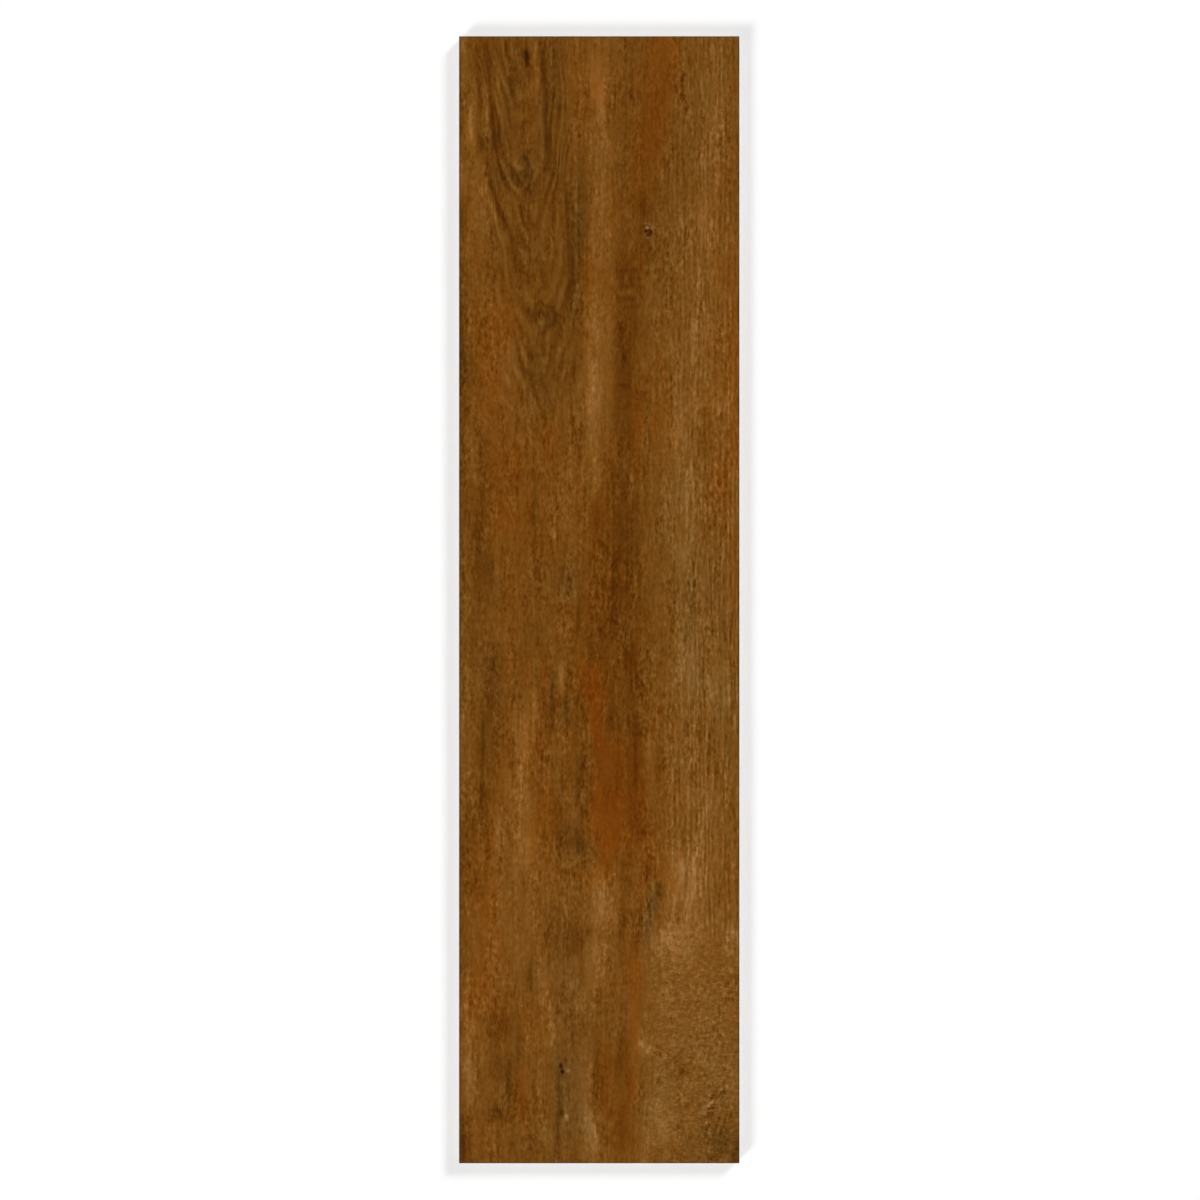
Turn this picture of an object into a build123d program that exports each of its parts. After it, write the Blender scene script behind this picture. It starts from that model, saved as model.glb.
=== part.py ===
from build123d import *
import os

# Wood-look porcelain plank of the 15 x 60 cm format: one piece, dry-pressed, fired, then ground square.
# It lies on its back. X runs across the plank, Y along it, and Z up through the glazed face.
# The origin is the middle of the plane that the back ribs rest on.

# Driving dimensions, in millimetres and degrees
tile_length = 599.0
tile_width = 149.0
tile_thickness = 9.0  # from the rib tops to the glazed face
face_bevel = 0.6  # ground round the face at 45 degrees
back_arris_radius = 1.2  # pressed rounding round the back
rim_width = 7.0  # plain border round the key pattern, on the back
rib_width = 2.5
pocket_depth = 0.8
pocket_draft = 30.0  # lean of the pocket walls, so that the punch lifts out
pocket_corner_cut = 2.0  # 45 degree cut across each corner of a pocket
pocket_length_wanted = 22.0
pocket_width_wanted = 20.0


def pocket_count(space, wanted):
    # Whole pockets of about the wanted size that fill the space, with a rib between neighbours.
    return max(1, round((space + rib_width) / (wanted + rib_width)))


def pocket_size(space, count):
    return (space - (count - 1) * rib_width) / count


def pressed_body():
    # The ground slab: a square-cornered outline, a bevel round the face and a rounding round the back.
    slab = extrude(Rectangle(tile_width, tile_length), tile_thickness)
    face_edges = slab.faces().sort_by(Axis.Z)[-1].edges()
    slab = chamfer(face_edges, face_bevel)
    back_edges = slab.faces().sort_by(Axis.Z)[0].edges()
    return fillet(back_edges, back_arris_radius)


def key_pattern():
    # Drafted pockets in rows, as deep as the ribs stand, that give the bedding mortar its grip.
    field_width = tile_width - 2 * rim_width
    field_length = tile_length - 2 * rim_width
    across = pocket_count(field_width, pocket_width_wanted)
    along = pocket_count(field_length, pocket_length_wanted)
    mouth_width = pocket_size(field_width, across)
    mouth_length = pocket_size(field_length, along)
    mouth = Rectangle(mouth_width, mouth_length)
    mouth = chamfer(mouth.vertices(), pocket_corner_cut)
    pocket = extrude(mouth, pocket_depth, taper=pocket_draft)
    places = GridLocations(mouth_width + rib_width, mouth_length + rib_width, across, along)
    return [place * pocket for place in places]


def porcelain_tile():
    return pressed_body() - key_pattern()


os.makedirs("parts", exist_ok=True)
tile = porcelain_tile()
export_step(tile, "parts/porcelain_tile.step")
print("porcelain_tile", tile.bounding_box().size, "volume", round(tile.volume))
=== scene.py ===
import math

import bpy
import numpy as np
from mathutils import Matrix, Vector, geometry


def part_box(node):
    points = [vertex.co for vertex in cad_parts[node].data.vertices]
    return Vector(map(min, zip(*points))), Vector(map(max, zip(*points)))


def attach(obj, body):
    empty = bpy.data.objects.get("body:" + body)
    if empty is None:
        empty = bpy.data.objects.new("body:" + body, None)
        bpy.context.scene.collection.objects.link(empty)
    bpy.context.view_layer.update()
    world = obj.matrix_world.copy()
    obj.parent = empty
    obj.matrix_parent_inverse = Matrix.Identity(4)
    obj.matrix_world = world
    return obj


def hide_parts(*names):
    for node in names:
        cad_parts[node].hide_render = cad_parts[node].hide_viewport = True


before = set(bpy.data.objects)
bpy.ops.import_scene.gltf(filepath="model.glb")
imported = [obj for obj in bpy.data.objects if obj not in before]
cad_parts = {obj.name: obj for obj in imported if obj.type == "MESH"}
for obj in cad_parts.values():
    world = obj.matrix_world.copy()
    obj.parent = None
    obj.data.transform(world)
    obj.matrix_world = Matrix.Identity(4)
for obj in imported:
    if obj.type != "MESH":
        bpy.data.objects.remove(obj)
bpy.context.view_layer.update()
tileLow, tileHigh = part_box("porcelain_tile")
tileWidth = tileHigh.x - tileLow.x
tileLength = tileHigh.y - tileLow.y
tileTop = tileHigh.z
mm = 0.001

# The pressed tile: what shapes the mesh, with its lengths in metres
press = {
    "acrossCells": 186,
    "alongCells": 420,
    "bevel": 0.6 * mm,
    "bevelSoftening": 0.18 * mm,
    "softShare": 0.7,  # of the softening, on the slope of the bevel
    "backArris": 1.2 * mm,
    "arrisSteps": 3,
    "rim": 7.0 * mm,
    "rib": 2.5 * mm,
    "pocketsAcross": 6,
    "pocketsAlong": 24,
    "pocketDepth": 0.8 * mm,
    "pocketDraft": 30.0,  # degrees
    "pocketCorner": 2.0 * mm,
    "pocketSoftening": 0.12 * mm,
    "holdingLoop": 0.25 * mm,
    "reliefDepth": 0.22 * mm,
    "reliefBorder": 3.0 * mm,
    "sharpAngle": 38.0,  # degrees
    "weldDistance": 1e-7,
    "printTone": 1.28,
    "printRusset": 1.32,
    # how strongly some groups of drawn lines are inked, and how much of their tint they keep
    "lineInk": {"upperFlame": (1.3, 0.4), "lowerFlame": (1.3, 0.4), "crossGrain": (1.6, 1.0)},
    "seed": 11,
}


# Smooth random field, -1 to 1, on a lattice of the given cell
def softNoise(across, along, cellAcross, cellAlong, seed):
    side, shift = 1009, 500.0  # of the lattice, in cells
    dice = np.random.default_rng(seed)
    u = across / cellAcross + shift
    v = along / cellAlong + shift
    lattice = dice.uniform(-1.0, 1.0, (side, side))
    i, j = np.floor(u).astype(int), np.floor(v).astype(int)
    fu, fv = u - i, v - j
    fu, fv = fu * fu * (3 - 2 * fu), fv * fv * (3 - 2 * fv)
    near = lattice[i % side, j % side] * (1 - fu) + lattice[(i + 1) % side, j % side] * fu
    far = lattice[i % side, (j + 1) % side] * (1 - fu) + lattice[(i + 1) % side, (j + 1) % side] * fu
    return near * (1 - fv) + far * fv


def smoothStep(value, low, high):
    part = np.clip((value - low) / (high - low), 0.0, 1.0)
    return part * part * (3 - 2 * part)


# Streaks of the printed wood, in millimetres from the middle of the face:
# across, along, half width, half length, lean, tone step, and russet (olive below zero)
woodStreaks = {
    "groundShades": [
        (55, 0, 26, 330, 0, 0.75, -0.8), (-68, 60, 7, 280, 0, 0.35, 0),
        (26, 250, 15, 45, 0, -0.8, 0), (4, -60, 24, 110, 0, -0.75, 0.6),
        (-45, -165, 22, 45, 0, 0.6, 0.6), (47, -215, 26, 90, 0, 0.65, 0),
        (-38, 215, 24, 95, -0.05, -0.6, -1.6), (-14, 30, 14, 60, 0, 0, 0.8),
        (60, 265, 6, 40, 0, 0.7, 0), (47, 95, 6, 50, 0.1, 0.7, 0),
        (33, 185, 9, 32, 0, -0.35, -0.4), (-68, 110, 7, 40, 0, -0.35, 0),
        (-68, -35, 6, 42, 0, -0.45, -0.6), (-8, -165, 32, 60, 0, 0.35, 0),
        (35, -215, 30, 50, 0, 0.2, 0), (-62, -218, 10, 20, 0, 0.4, 0.5),
        (10, -12, 14, 18, 0, -0.35, 0), (50, 123, 6, 12, 0, -0.5, 0),
        (67, 110, 6, 34, 0, 0.35, 0), (-7, -75, 6, 14, 0, 0.4, 0.3),
        (36, 235, 12, 45, 0, 0, -0.7), (36, 40, 11, 38, 0, 0, -0.9),
        (58, 5, 14, 34, 0, 0, -0.8), (54, 258, 8, 20, 0, 0, -0.4),
        (-52, 90, 12, 75, 0, 0, 0.6), (4, 45, 9, 28, 0, 0, 0.7),
        (34, -120, 24, 36, 0, 0, 1.0), (-28, -102, 28, 20, 0, 0, 0.7),
        (-15, -268, 40, 22, 0, 0, -0.6), (45, -278, 28, 20, 0, 0, -0.5),
        (-20, -208, 10, 25, 0, 0, -0.5), (-66, 258, 7, 20, 0, 0, -0.6),
        (-45, 289, 20, 8, 0, -0.3, -0.6), (4, -258, 8, 16, 0, 0, 1.0),
        (-30, -260, 6, 14, 0, 0.3, 0.8), (-60, -284, 12, 12, 0, 0, 0.9),
        (-67, -262, 6, 10, 0, 0.4, 0.4), (30, -236, 6, 10, 0, 0.5, 0),
        (-30, -234, 7, 10, 0, 0.4, 0), (42, -211, 6, 12, 0, 0, 0.9),
        (17, -195, 6, 20, 0, -0.4, 0), (48, -161, 9, 13, 0, 0, 0.9),
        (-55, -132, 5, 15, 0, 0, 0.9), (-44, -110, 6, 10, 0, 0, 0.8),
        (-18, -111, 5, 10, 0, 0.3, 0.8), (60, -100, 12, 18, 0, 0.5, 0),
        (14, -108, 10, 14, 0, -0.3, 0.5), (6, -87, 5, 9, 0, 0, -0.9),
        (28, -72, 7, 16, 0, 0.2, 0.9), (66, -52, 6, 16, 0, 0.2, -0.7),
        (6, -52, 6, 18, 0, -0.4, 0), (36, -24, 11, 16, 0, -0.4, 0),
        (67, -12, 6, 10, 0, -0.6, 0), (-44, -8, 7, 48, 0, 0, 0.8),
        (12, -2, 10, 16, 0, 0, 0.9), (-17, 60, 7, 12, 0, 0, 0.9),
        (42, 76, 6, 16, 0, 0.5, 0), (54, 84, 5, 34, 0, -0.1, 0.9),
        (66, 87, 5, 10, 0, 0.1, -0.7), (-30, 88, 7, 12, 0, -0.4, 0.8),
        (-6, 87, 5, 10, 0, 0.5, 0), (-14, 136, 9, 11, 0, -0.4, 0),
        (54, 161, 5, 10, 0, 0, 0.9), (54, 192, 14, 14, 0, 0.3, 0),
        (20, 209, 8, 12, 0, -0.4, 0.7), (-30, 209, 5, 12, 0, 0, 0.8),
        (-12, 238, 10, 12, 0, 0, 0.5), (18, 260, 5, 10, 0, 0, 0.7),
        (42, 275, 5, 22, 0, 0, 0.8), (-64, 20, 7, 26, 0, -0.4, 0.2),
        (-52, 52, 9, 28, 0, 0, 0.5), (-36, -62, 9, 12, 0, 0, 0.8),
        (-54, -116, 14, 20, 0, 0, 0.6), (64, -136, 9, 26, 0, 0.1, 0.6),
        (-48, -216, 10, 18, 0, 0, 0.6), (-57, 161, 6, 11, 0, 0, 0.7),
        (-73, 291, 2.5, 8, 0, 0.8, 0),
    ],
    "paleHeart": [
        (0, 235, 7, 80, 0.01, 0.9, 0.2), (1, 262, 2.5, 14, 0, 1.0, 0),
        (-3, 112, 5.5, 58, 0, 1.3, 0.6), (-3, 112, 4.5, 13, 0, 1.3, 0),
        (-1, 62, 2.5, 8, 0, 0.9, 0), (-8, 282, 12, 16, 0, 0.5, 1.4),
        (-2, 172, 13, 9, 0, -0.5, 0.6), (-8, 162, 3.5, 22, 0, 0, 2.2),
        (-6, 260, 10, 18, 0, 0, 1.6), (5, 240, 7, 10, 0, 0.5, 0),
    ],
    "darkTrunk": [
        (14, 150, 7, 60, 0, -0.5, 0.2), (14, 187, 7, 13, 0, -0.9, 0.6),
        (22.5, 178, 3, 18, 0, -0.9, 1.6), (21.5, 108, 3, 9, 0, -0.8, 0.6),
        (15, 32, 8, 38, 0, -0.9, -0.8), (8, 22, 4, 8, 0, -0.4, 0.2),
        (7, -8, 4.5, 14, 0, -0.7, 0), (0, 30, 4.5, 32, 0.05, -0.6, 0),
        (16, -32, 5, 11, 0, -0.8, 1.0), (6, -61, 4, 8, 0, 0, 1.4),
        (20, -82, 4, 12, 0, 0, 1.4), (19, -72, 4.2, 50, 0, -1.2, 0.2),
        (0, -25, 3, 12, 0, -0.8, 1.0), (7, -65, 3, 8, 0, -0.8, -1.5),
        (4, -104, 3, 8, 0, -0.6, 0), (25, 205, 5, 14, 0, -0.9, 0),
        (24, 140, 4, 8, 0, -0.8, 0), (35, 122, 3, 7, 0, -0.9, 0),
    ],
    "russetUpper": [
        (32, 100, 8, 26, 0, 0, 2.2), (-57, 118, 6, 34, 0, 0.2, 3.2),
        (-50, 146, 10, 12, 0, 0.3, 2.8), (-48, 76, 13, 11, 0, -0.2, 2.8),
        (-45, 62, 10, 7, 0, 0, 1.8), (-26, 86, 4, 14, 0, 0.2, 2.6),
        (-46, 44, 11, 10, 0, 0, 2.8), (-34, 28, 6, 9, 0, 0, 1.8),
        (-25, 195, 4, 28, 0, 0, 1.6), (72, 128, 4, 60, 0, 0, 2.8),
        (65, 80, 7, 50, 0, 0, 2.4), (64, 200, 8, 40, 0, 0, 1.4),
        (62, 132, 5, 14, 0, 0, 1.8), (56, 105, 5, 14, 0, 0, 1.8),
        (63, 64, 6, 8, 0, 0, 1.6), (-66, 142, 4, 14, 0, 0, 1.6),
        (-37, 168, 4, 6, 0, 0, 1.5), (-66, 225, 5, 60, 0, 0.4, 1.4),
        (-36, 268, 4, 26, 0, 0, 1.8),
    ],
    "darkUpper": [
        (-28, 258, 3.4, 55, -0.055, -0.9, -1.0), (-22, 275, 4, 30, 0, -0.9, -1.5),
        (-15, 185, 3.6, 34, -0.03, -1.0, -1.2), (-9.5, 204, 3.6, 22, 0, -1.1, -2.6),
        (-11, 168, 4, 24, 0, -0.5, -1.8), (-6, 200, 2.5, 24, 0, -0.8, 0),
        (-10, 231, 2.5, 8, 0, -0.9, -0.8), (-14, 157, 2.5, 8, 0, -0.9, -0.6),
        (-47, 272, 3.4, 18, 0.04, -0.6, -0.8), (-56, 248, 3.4, 24, -0.08, -0.9, 0.2),
        (-50, 176, 8, 13, 0, 0, 1.4), (-62, 243, 2.6, 10, 0, -0.5, -0.8),
        (-63, 268, 2, 12, 0, -1.3, 0), (-63, 288, 5, 13, 0, -1.2, 0),
        (-45, 224, 9, 7, 0, -0.9, -1.0), (-20, 229, 9, 13, 0, -0.6, 0),
        (-35, 206, 4, 8, 0, -0.8, 0), (-38, 226, 5, 9, 0, -0.5, -1.4),
        (-51, 193, 2.6, 15, -0.3, -1.0, 0), (-31, 151, 7, 7, 0, -0.7, -0.6),
        (-25, 151, 4, 9, 0, -0.5, -0.8), (-34, 118, 5, 26, -0.24, -0.6, -0.6),
        # rows at -74 across, here and in darkLower, darken the face along its left edge
        (-24, 120, 9, 20, 0, -0.4, -1.0), (-74, 203, 3, 9, 0, -1.8, -0.8),
        (-74.5, 250, 2.4, 14, 0, -1.8, 0), (-74, 136, 3.4, 36, 0, -2.3, -0.8),
        (-74, 62, 3.4, 34, 0, -0.9, 0), (-69, 125, 3, 10, 0, -0.9, -0.8),
        (-66, 22, 6, 24, 0, -0.7, 0), (-61, 75, 4, 16, 0, -1.0, -0.6),
        (-54, 141, 8, 7, 0, -0.8, 0), (-69, 52, 4, 10, 0, -0.9, 0),
        (-46, 62, 5, 10, 0, -0.6, -1.2), (-33, 42, 3, 24, -0.08, -0.5, 0.2),
        (-8, 36, 3, 12, 0.1, 0.6, 0), (-17, 119, 4, 8, 0, -0.7, 0),
        (-16, 10, 7, 12, 0, -0.4, -3.4), (-29, 8, 3, 10, 0, -0.6, -0.4),
    ],
    "paleUpper": [
        (-69, 248, 2.6, 7, 0, 1.5, 0.3), (-69.5, 272, 3.4, 26, 0, 0.4, 0.2),
        (-60, 208, 6, 12, 0, 0.7, 0), (-54, 203, 2.2, 26, -0.27, 0.9, 0),
        (-60, 261, 2, 13, -0.15, 1.4, 0.4), (-72.5, 224, 2, 9, 0, 1.3, 0),
        (-44, 130, 3, 8, 0, 0.9, 0), (-10.5, 103, 4, 9, 0, 0.6, 0),
        (-50, 130, 6, 30, -0.1, 0.6, 0), (-15, 58, 2.5, 16, 0, 0.9, 0),
        (-17, 42, 6, 5, 0, 0.7, 0), (56, 202, 4, 10, 0, 1.2, 0),
        (52, 150, 3.2, 30, 0.14, 0.5, 0), (39, 128, 2.4, 14, 0, 0.8, 0),
        (41.5, 95, 4, 12, 0.1, 1.2, 0), (47, 56, 5, 18, 0, 0.9, -0.8),
        (45, 30, 6, 8, 0, 0, -1.2), (34, 48, 2.4, 16, 0, 0.9, 0),
        (46, 26, 4, 12, 0, 1.0, 0), (66, 102, 4, 6, 0, 0.9, 0),
        (57, 86, 5, 7, 0, -1.2, 0),
    ],
    "darkLower": [
        (-62, -90, 3.8, 34, 0, -1.3, -0.6), (-56, -42, 3.6, 18, 0, -0.6, -1.4),
        (-74, -165, 3, 46, 0, -1.2, 0.6), (-66, -150, 4, 9, 0, -1.0, 0),
        (-16, -61, 7, 7, 0, 0, -1.6), (8, -16, 4, 10, 0, 0, -1.6),
        (-36, -92, 3, 12, 0, -0.5, 0), (23, -118, 4, 9, 0, -0.8, 0),
        (-66, -20, 6, 12, 0, -0.9, 0), (-70, -128, 5, 18, 0, -1.2, 0),
        (-31, -48, 1.5, 24, 0, -0.8, 0), (-25, -55, 3.6, 14, 0, -0.6, -1.0),
        (-17, -56, 3, 9, 0, -0.6, -1.2), (-11, -130, 4, 11, -0.1, -1.0, -2.6),
        (-21, -120, 5, 20, 0, -1.0, -3.0), (-10, -100, 3, 20, 0.08, -0.7, -2.0),
        (-13, -180, 6, 9, 0, -1.2, -0.2), (-24, -176, 4.5, 12, 0, -0.7, -0.4),
        (-17, -206, 7, 44, 0, -0.2, -1.4), (-13, -226, 2.4, 9, -0.1, -0.9, -1.6),
        (-9, -198, 1.6, 9, 0, -0.8, 0), (-36, -200, 2.6, 9, 0, -0.9, -1.8),
        (-51, -226, 6, 11, 0, -1.5, -0.8), (-42, -240, 2.4, 9, 0, -1.1, -1.6),
        (-48, -258, 3.8, 18, 0, -0.8, -1.0), (-54, -248, 3.5, 7, 0, -1.0, 0),
        (-55, -272, 5, 6, 0, -1.5, -1.6), (-74, -292, 6, 18, 0, -2.2, 0),
        (-38, -292, 8, 8, 0, -0.6, 0), (-15.5, -264, 8, 30, 0.02, -0.2, -3.6),
        (-7, -278, 3.5, 8, 0, 0, -2.4), (26, -143, 2.6, 7, 0, -1.4, 0),
        (21, -176, 3, 10, 0, -1.0, 0), (13, -168, 3, 9, 0, -0.9, 0),
        (15, -152, 3, 6, 0, -0.9, 0), (31, -154, 3, 7, 0, -0.7, 0),
        (11, -235, 5, 16, 0, -0.9, -0.8), (12, -275, 3, 9, 0, -0.8, 0),
        (44, -248, 5, 7, 0, -0.9, 0), (32, -86, 2.6, 6, 0, -0.8, 0),
        (61, -84, 3.5, 14, 0, -0.9, 0), (63, -156, 4, 7, 0, -0.8, 0),
        (60, -290, 12, 11, 0, -0.7, -2.9), (56, -248, 18, 24, 0, 0, -1.3),
        (32, -268, 5, 20, 0, 0, -2.2), (73, -293, 6, 9, 0, -0.7, -2.6),
        (47, -22, 6, 34, 0, 0, -2.4), (62, -48, 9, 13, 0, 0, -2.0),
    ],
    "paleLower": [
        (44, -20, 3, 36, 0, 0.5, 0), (48.5, -38, 4.5, 26, 0, 1.3, -0.2),
        (42, -138, 5, 7, 0, 1.0, 0), (-17, -276, 3, 6, 0, 1.2, 0),
        (-45, -236, 3, 6, 0, 0.9, 0), (-40, -75, 4.5, 21, 0, 1.5, 0.8),
        (-44, -97, 6, 7, 0, 1.0, 0), (-42, -112, 5, 11, 0, 1.1, 0),
        (-39, -133, 4, 9, 0, 1.4, 0), (-54, -128, 4, 5, 0, 0.9, 0),
        (-20, -42, 2.2, 9, 0, 1.6, 0), (-15, -110, 2.2, 12, -0.1, 1.2, 0),
        (2, -161, 6.5, 15, 0, 2.9, -0.2), (67, -46, 3, 16, 0, 0.9, 0),
        (-53, -116, 2.4, 8, 0, 0.9, 0), (70, -258, 6, 12, 0, 0.6, 0),
        (-1, -191, 6.5, 11, 0.1, 1.6, 0), (-10, -207, 3, 12, 0.2, 0.9, 0),
        (-3, -212, 4, 8, 0, 0.8, 0), (-17, -160, 4, 7, 0, 0.9, 0),
        (-28, -215, 3.2, 28, -0.12, 1.4, 0.6), (-70, -250, 3.4, 24, 0, 1.6, 0),
        (-68, -223, 2.4, 7, -0.2, 0.9, 0), (-4, -284, 4.2, 14, -0.1, 2.4, 0),
        (-7, -262, 3.6, 16, 0, 0.9, 0), (-28, -283, 4, 9, 0, 0.8, 0),
        (48, -152, 8, 18, 0.05, 1.9, -0.2), (42, -183, 9, 10, 0.3, 1.7, 0),
        (32, -180, 5, 7, 0.35, 1.9, 0), (60, -46, 2.6, 12, 0, 1.2, 0),
        (28, -80, 2.2, 7, 0, 1.1, 0), (47, -95, 3.6, 18, 0, 0.8, 0),
        (56, -120, 2.6, 18, 0.16, 1.0, 0), (63, -134, 4, 6, 0, 0.9, 0),
        (72, -180, 4, 9, 0, 1.2, 0), (34, -212, 4.5, 9, 0, 0.8, 0),
        (32, -278, 6, 14, 0, 1.9, 0), (24, -292, 3.4, 12, 0, 1.4, 0),
        (24, -237, 4, 6, 0, 0.9, 0),
    ],
    "tintShades": [
        (17, -247, 4, 9, 0, 0, -1.8), (10, -287, 4, 6, 0, 0, -1.2),
        (27, 200, 5, 7, 0, 0, -1.6), (17, 104, 5, 6, 0, 0, -0.9),
        (32, 92, 6, 6, 0, 0, -0.9), (9, 92, 5, 5, 0, 0, -1.0),
        (-27, 12, 5, 8, 0, 0, -0.8), (-13, -4, 5, 9, 0, 0, -1.0),
        (-65, -10, 9, 13, 0, 0, -1.0), (-34, -19, 8, 7, 0, 0, -0.8),
        (-27, -201, 12, 9, 0, 0, -1.0), (-19, -249, 5, 9, 0, 0, -0.9),
        (-34, -289, 9, 9, 0, 0, -0.8), (70, -78, 5, 11, 0, 0, -1.2),
        (67, -268, 8, 9, 0, 0, -1.0), (54, 14, 5, 9, 0, 0, -0.9),
        (69, 187, 5, 8, 0, 0, -1.0), (52, 215, 12, 14, 0, 0, -0.5),
        (51, 264, 7, 14, 0, 0, -0.6), (-50, -10, 8, 9, 0, 0, 1.1),
        (-4, -10, 6, 9, 0, 0, 0.9), (-11, -46, 3, 7, 0, 0, 1.0),
        (-64, -104, 5, 6, 0, 0, 1.1), (-70, -140, 4, 14, 0, 0, 1.0),
        (20, -172, 5, 8, 0, 0, 1.0), (58, -138, 6, 6, 0, 0, 0.9),
        (-45, -62, 5, 9, 0, 0, 0.7), (-63, 62, 5, 12, 0, 0, 0.9),
        (62, 134, 6, 8, 0, 0, 0.9), (39, 272, 6, 9, 0, 0, 0.8),
        (14, 210, 6, 10, 0, 0, 0.7), (-55, 213, 4, 11, -0.5, 0, 0.9),
    ],
    "smallShades": [
        (-63, 254, 2.2, 9, 0, -0.8, 0), (-69, 101, 3, 5, 0, -1.2, 0),
        (-68, 119, 3, 8, 0, -0.5, 0), (-30, 14, 2.6, 6, 0, -1.3, 0),
        (51, 55, 3, 4, 0, -1.0, 0), (66, 26, 2.6, 4, 0, -0.9, 0),
        (43, 3, 2.6, 4, 0, -1.2, 0), (8, 79, 3, 6, 0, 0.7, 0),
        (15, 14, 4, 6, 0, 0.8, 0), (45, 203, 3, 7, 0, 0.8, 0),
        (17, 250, 2.6, 5, 0, -0.7, 0), (48, 272, 3, 5, 0, -0.5, 0),
        (-4, 134, 3, 5, 0, -0.6, 0), (28, 179, 3, 7, 0, -0.6, 0),
        (52, 167, 2.6, 4, 0, -0.8, 0), (1, -203, 3.4, 5, 0, 1.4, 0),
        (-15, -270, 3.4, 6, 0, 1.0, 0), (50.5, -163, 2.2, 5, 0, -1.4, 0),
        (-45.5, -211, 3.4, 7, 0, -1.0, 0), (-69, -206, 2, 9, 0, 0.9, 0),
        (38, -188, 2.6, 6, 0, -0.9, 0), (-33, -130, 3, 7, 0, 0.8, 0),
        (-34, -152, 2.6, 5, 0, 0.8, 0), (45.5, -68, 3, 4, 0, 0.9, 0),
        (-14, -49, 3, 5, 0, 0.9, 0), (-46, -50, 2.6, 20, 0, -0.6, 0),
        (-43, -86, 3, 4, 0, -0.7, 0), (26, -42, 2, 8, 0, 0.8, 0),
        (23, -158, 1.8, 14, 0, -0.8, 0), (4, -181, 2, 5, 0, -0.8, 0),
        (30, -248, 4, 8, 0, 0.7, 0), (-20.5, -150, 2.6, 12, 0, 0.7, 0),
        (39, -172, 6, 3, 0, 0.7, 0),
    ],
    "russetLower": [
        (26, -130, 5, 10, 0, 0, 3.0), (22, -105, 5, 12, 0, 0, 2.0),
        (12, -107, 8, 6, 0, 0, 2.2), (27, -146, 4, 9, 0, 0, 2.2),
        (-57, -214, 7, 9, 0, 0, 1.2), (-37, -38, 6, 10, 0, 0, 1.2),
        (-55, -50, 3, 9, 0, 0, 1.6), (38, -148, 4, 9, 0, 0, 2.6),
        (-33, -125, 5, 30, 0, 0, 2.6), (-24.5, -118, 3.4, 20, 0, 0, 4.0),
        (12.5, -130, 3.5, 9, 0, 0, 2.4), (0, -148, 10, 4.5, 0, 0, 2.8),
        (25.5, -176, 3, 8, 0, 0, -3.2), (-70, -223, 5, 12, 0, 0, 1.8),
        (50, -185, 13, 22, 0, 0, 1.0), (-50, -90, 4, 24, 0, 0, 1.4),
        (-30, -45, 3, 14, 0, 0, 1.6), (-34, -78, 5, 10, 0, 0, 2.0),
        (-60, -170, 6, 34, 0, 0, 3.2), (-66, -208, 7, 13, 0, 0, 2.8),
        (-34, -226, 5, 9, 0, 0, 1.8), (-40, -266, 5, 14, 0, -0.2, 1.4),
    ],
}


# Patches of the print with crisper sides, in the same terms as the streaks
woodPatches = {
    "russetPatches": [
        (30.3, 262, 8.8, 45, 0.14, 0, 3.5), (20.5, 88, 3.4, 22, 0, 0, 2.4),
        (-3, -44, 6, 12, -0.2, 0.1, 4.4), (-2, -63, 4.2, 14, -0.1, 0.1, 4.6),
        (5, -89, 8, 16, 0, 0, 4.2), (3.5, -116, 9, 13, 0, 0, 4.6),
        (4, -135, 6, 9, 0, 0.1, 3.6), (18.5, -226, 3.6, 38, 0.02, 0.1, 3.6),
        (18, -192, 5, 13, 0, 0.2, 1.8), (9, -267, 9.5, 30, -0.08, -0.6, 2.0),
        (-1, 40, 4.5, 16, 0, -0.5, 1.6), (71.8, 60, 1.6, 120, 0, 0.3, 1.6),
        (71.8, 240, 1.6, 60, 0, -0.3, 1.6), (71.8, -120, 1.6, 60, 0, 0, 1.6),
        (-41, -262, 3, 18, 0, 0, 1.4), (-1, 276, 4, 14, 0, 0.4, 2.0),
        (16, -100, 8, 28, 0, -0.1, 0.9), (14, -284, 8, 15, 0, 0.1, 0.5),
    ],
    "darkPatches": [
        (15.5, 160, 6.8, 22, 0, -0.7, 0.4), (13.6, 114, 6.4, 38, 0, -1.2, 0.2),
        (13.5, 40, 8.0, 46, 0, -0.7, -0.2), (-62, 34, 4.5, 34, 0, -0.7, -1.2),
        (-57, -55, 5.0, 34, 0, -0.4, -0.9), (28.6, -158, 2.8, 10, 0.1, -0.4, -4.4),
    ],
    "palePatches": [
        (0.5, 158, 7.2, 62, 0, 0.6, 0.6), (-40, -84, 3.4, 20, 0, 0.7, 0.6),
        (-41, -120, 6.0, 22, 0, 0.6, 0.4),
    ],
}

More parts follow.
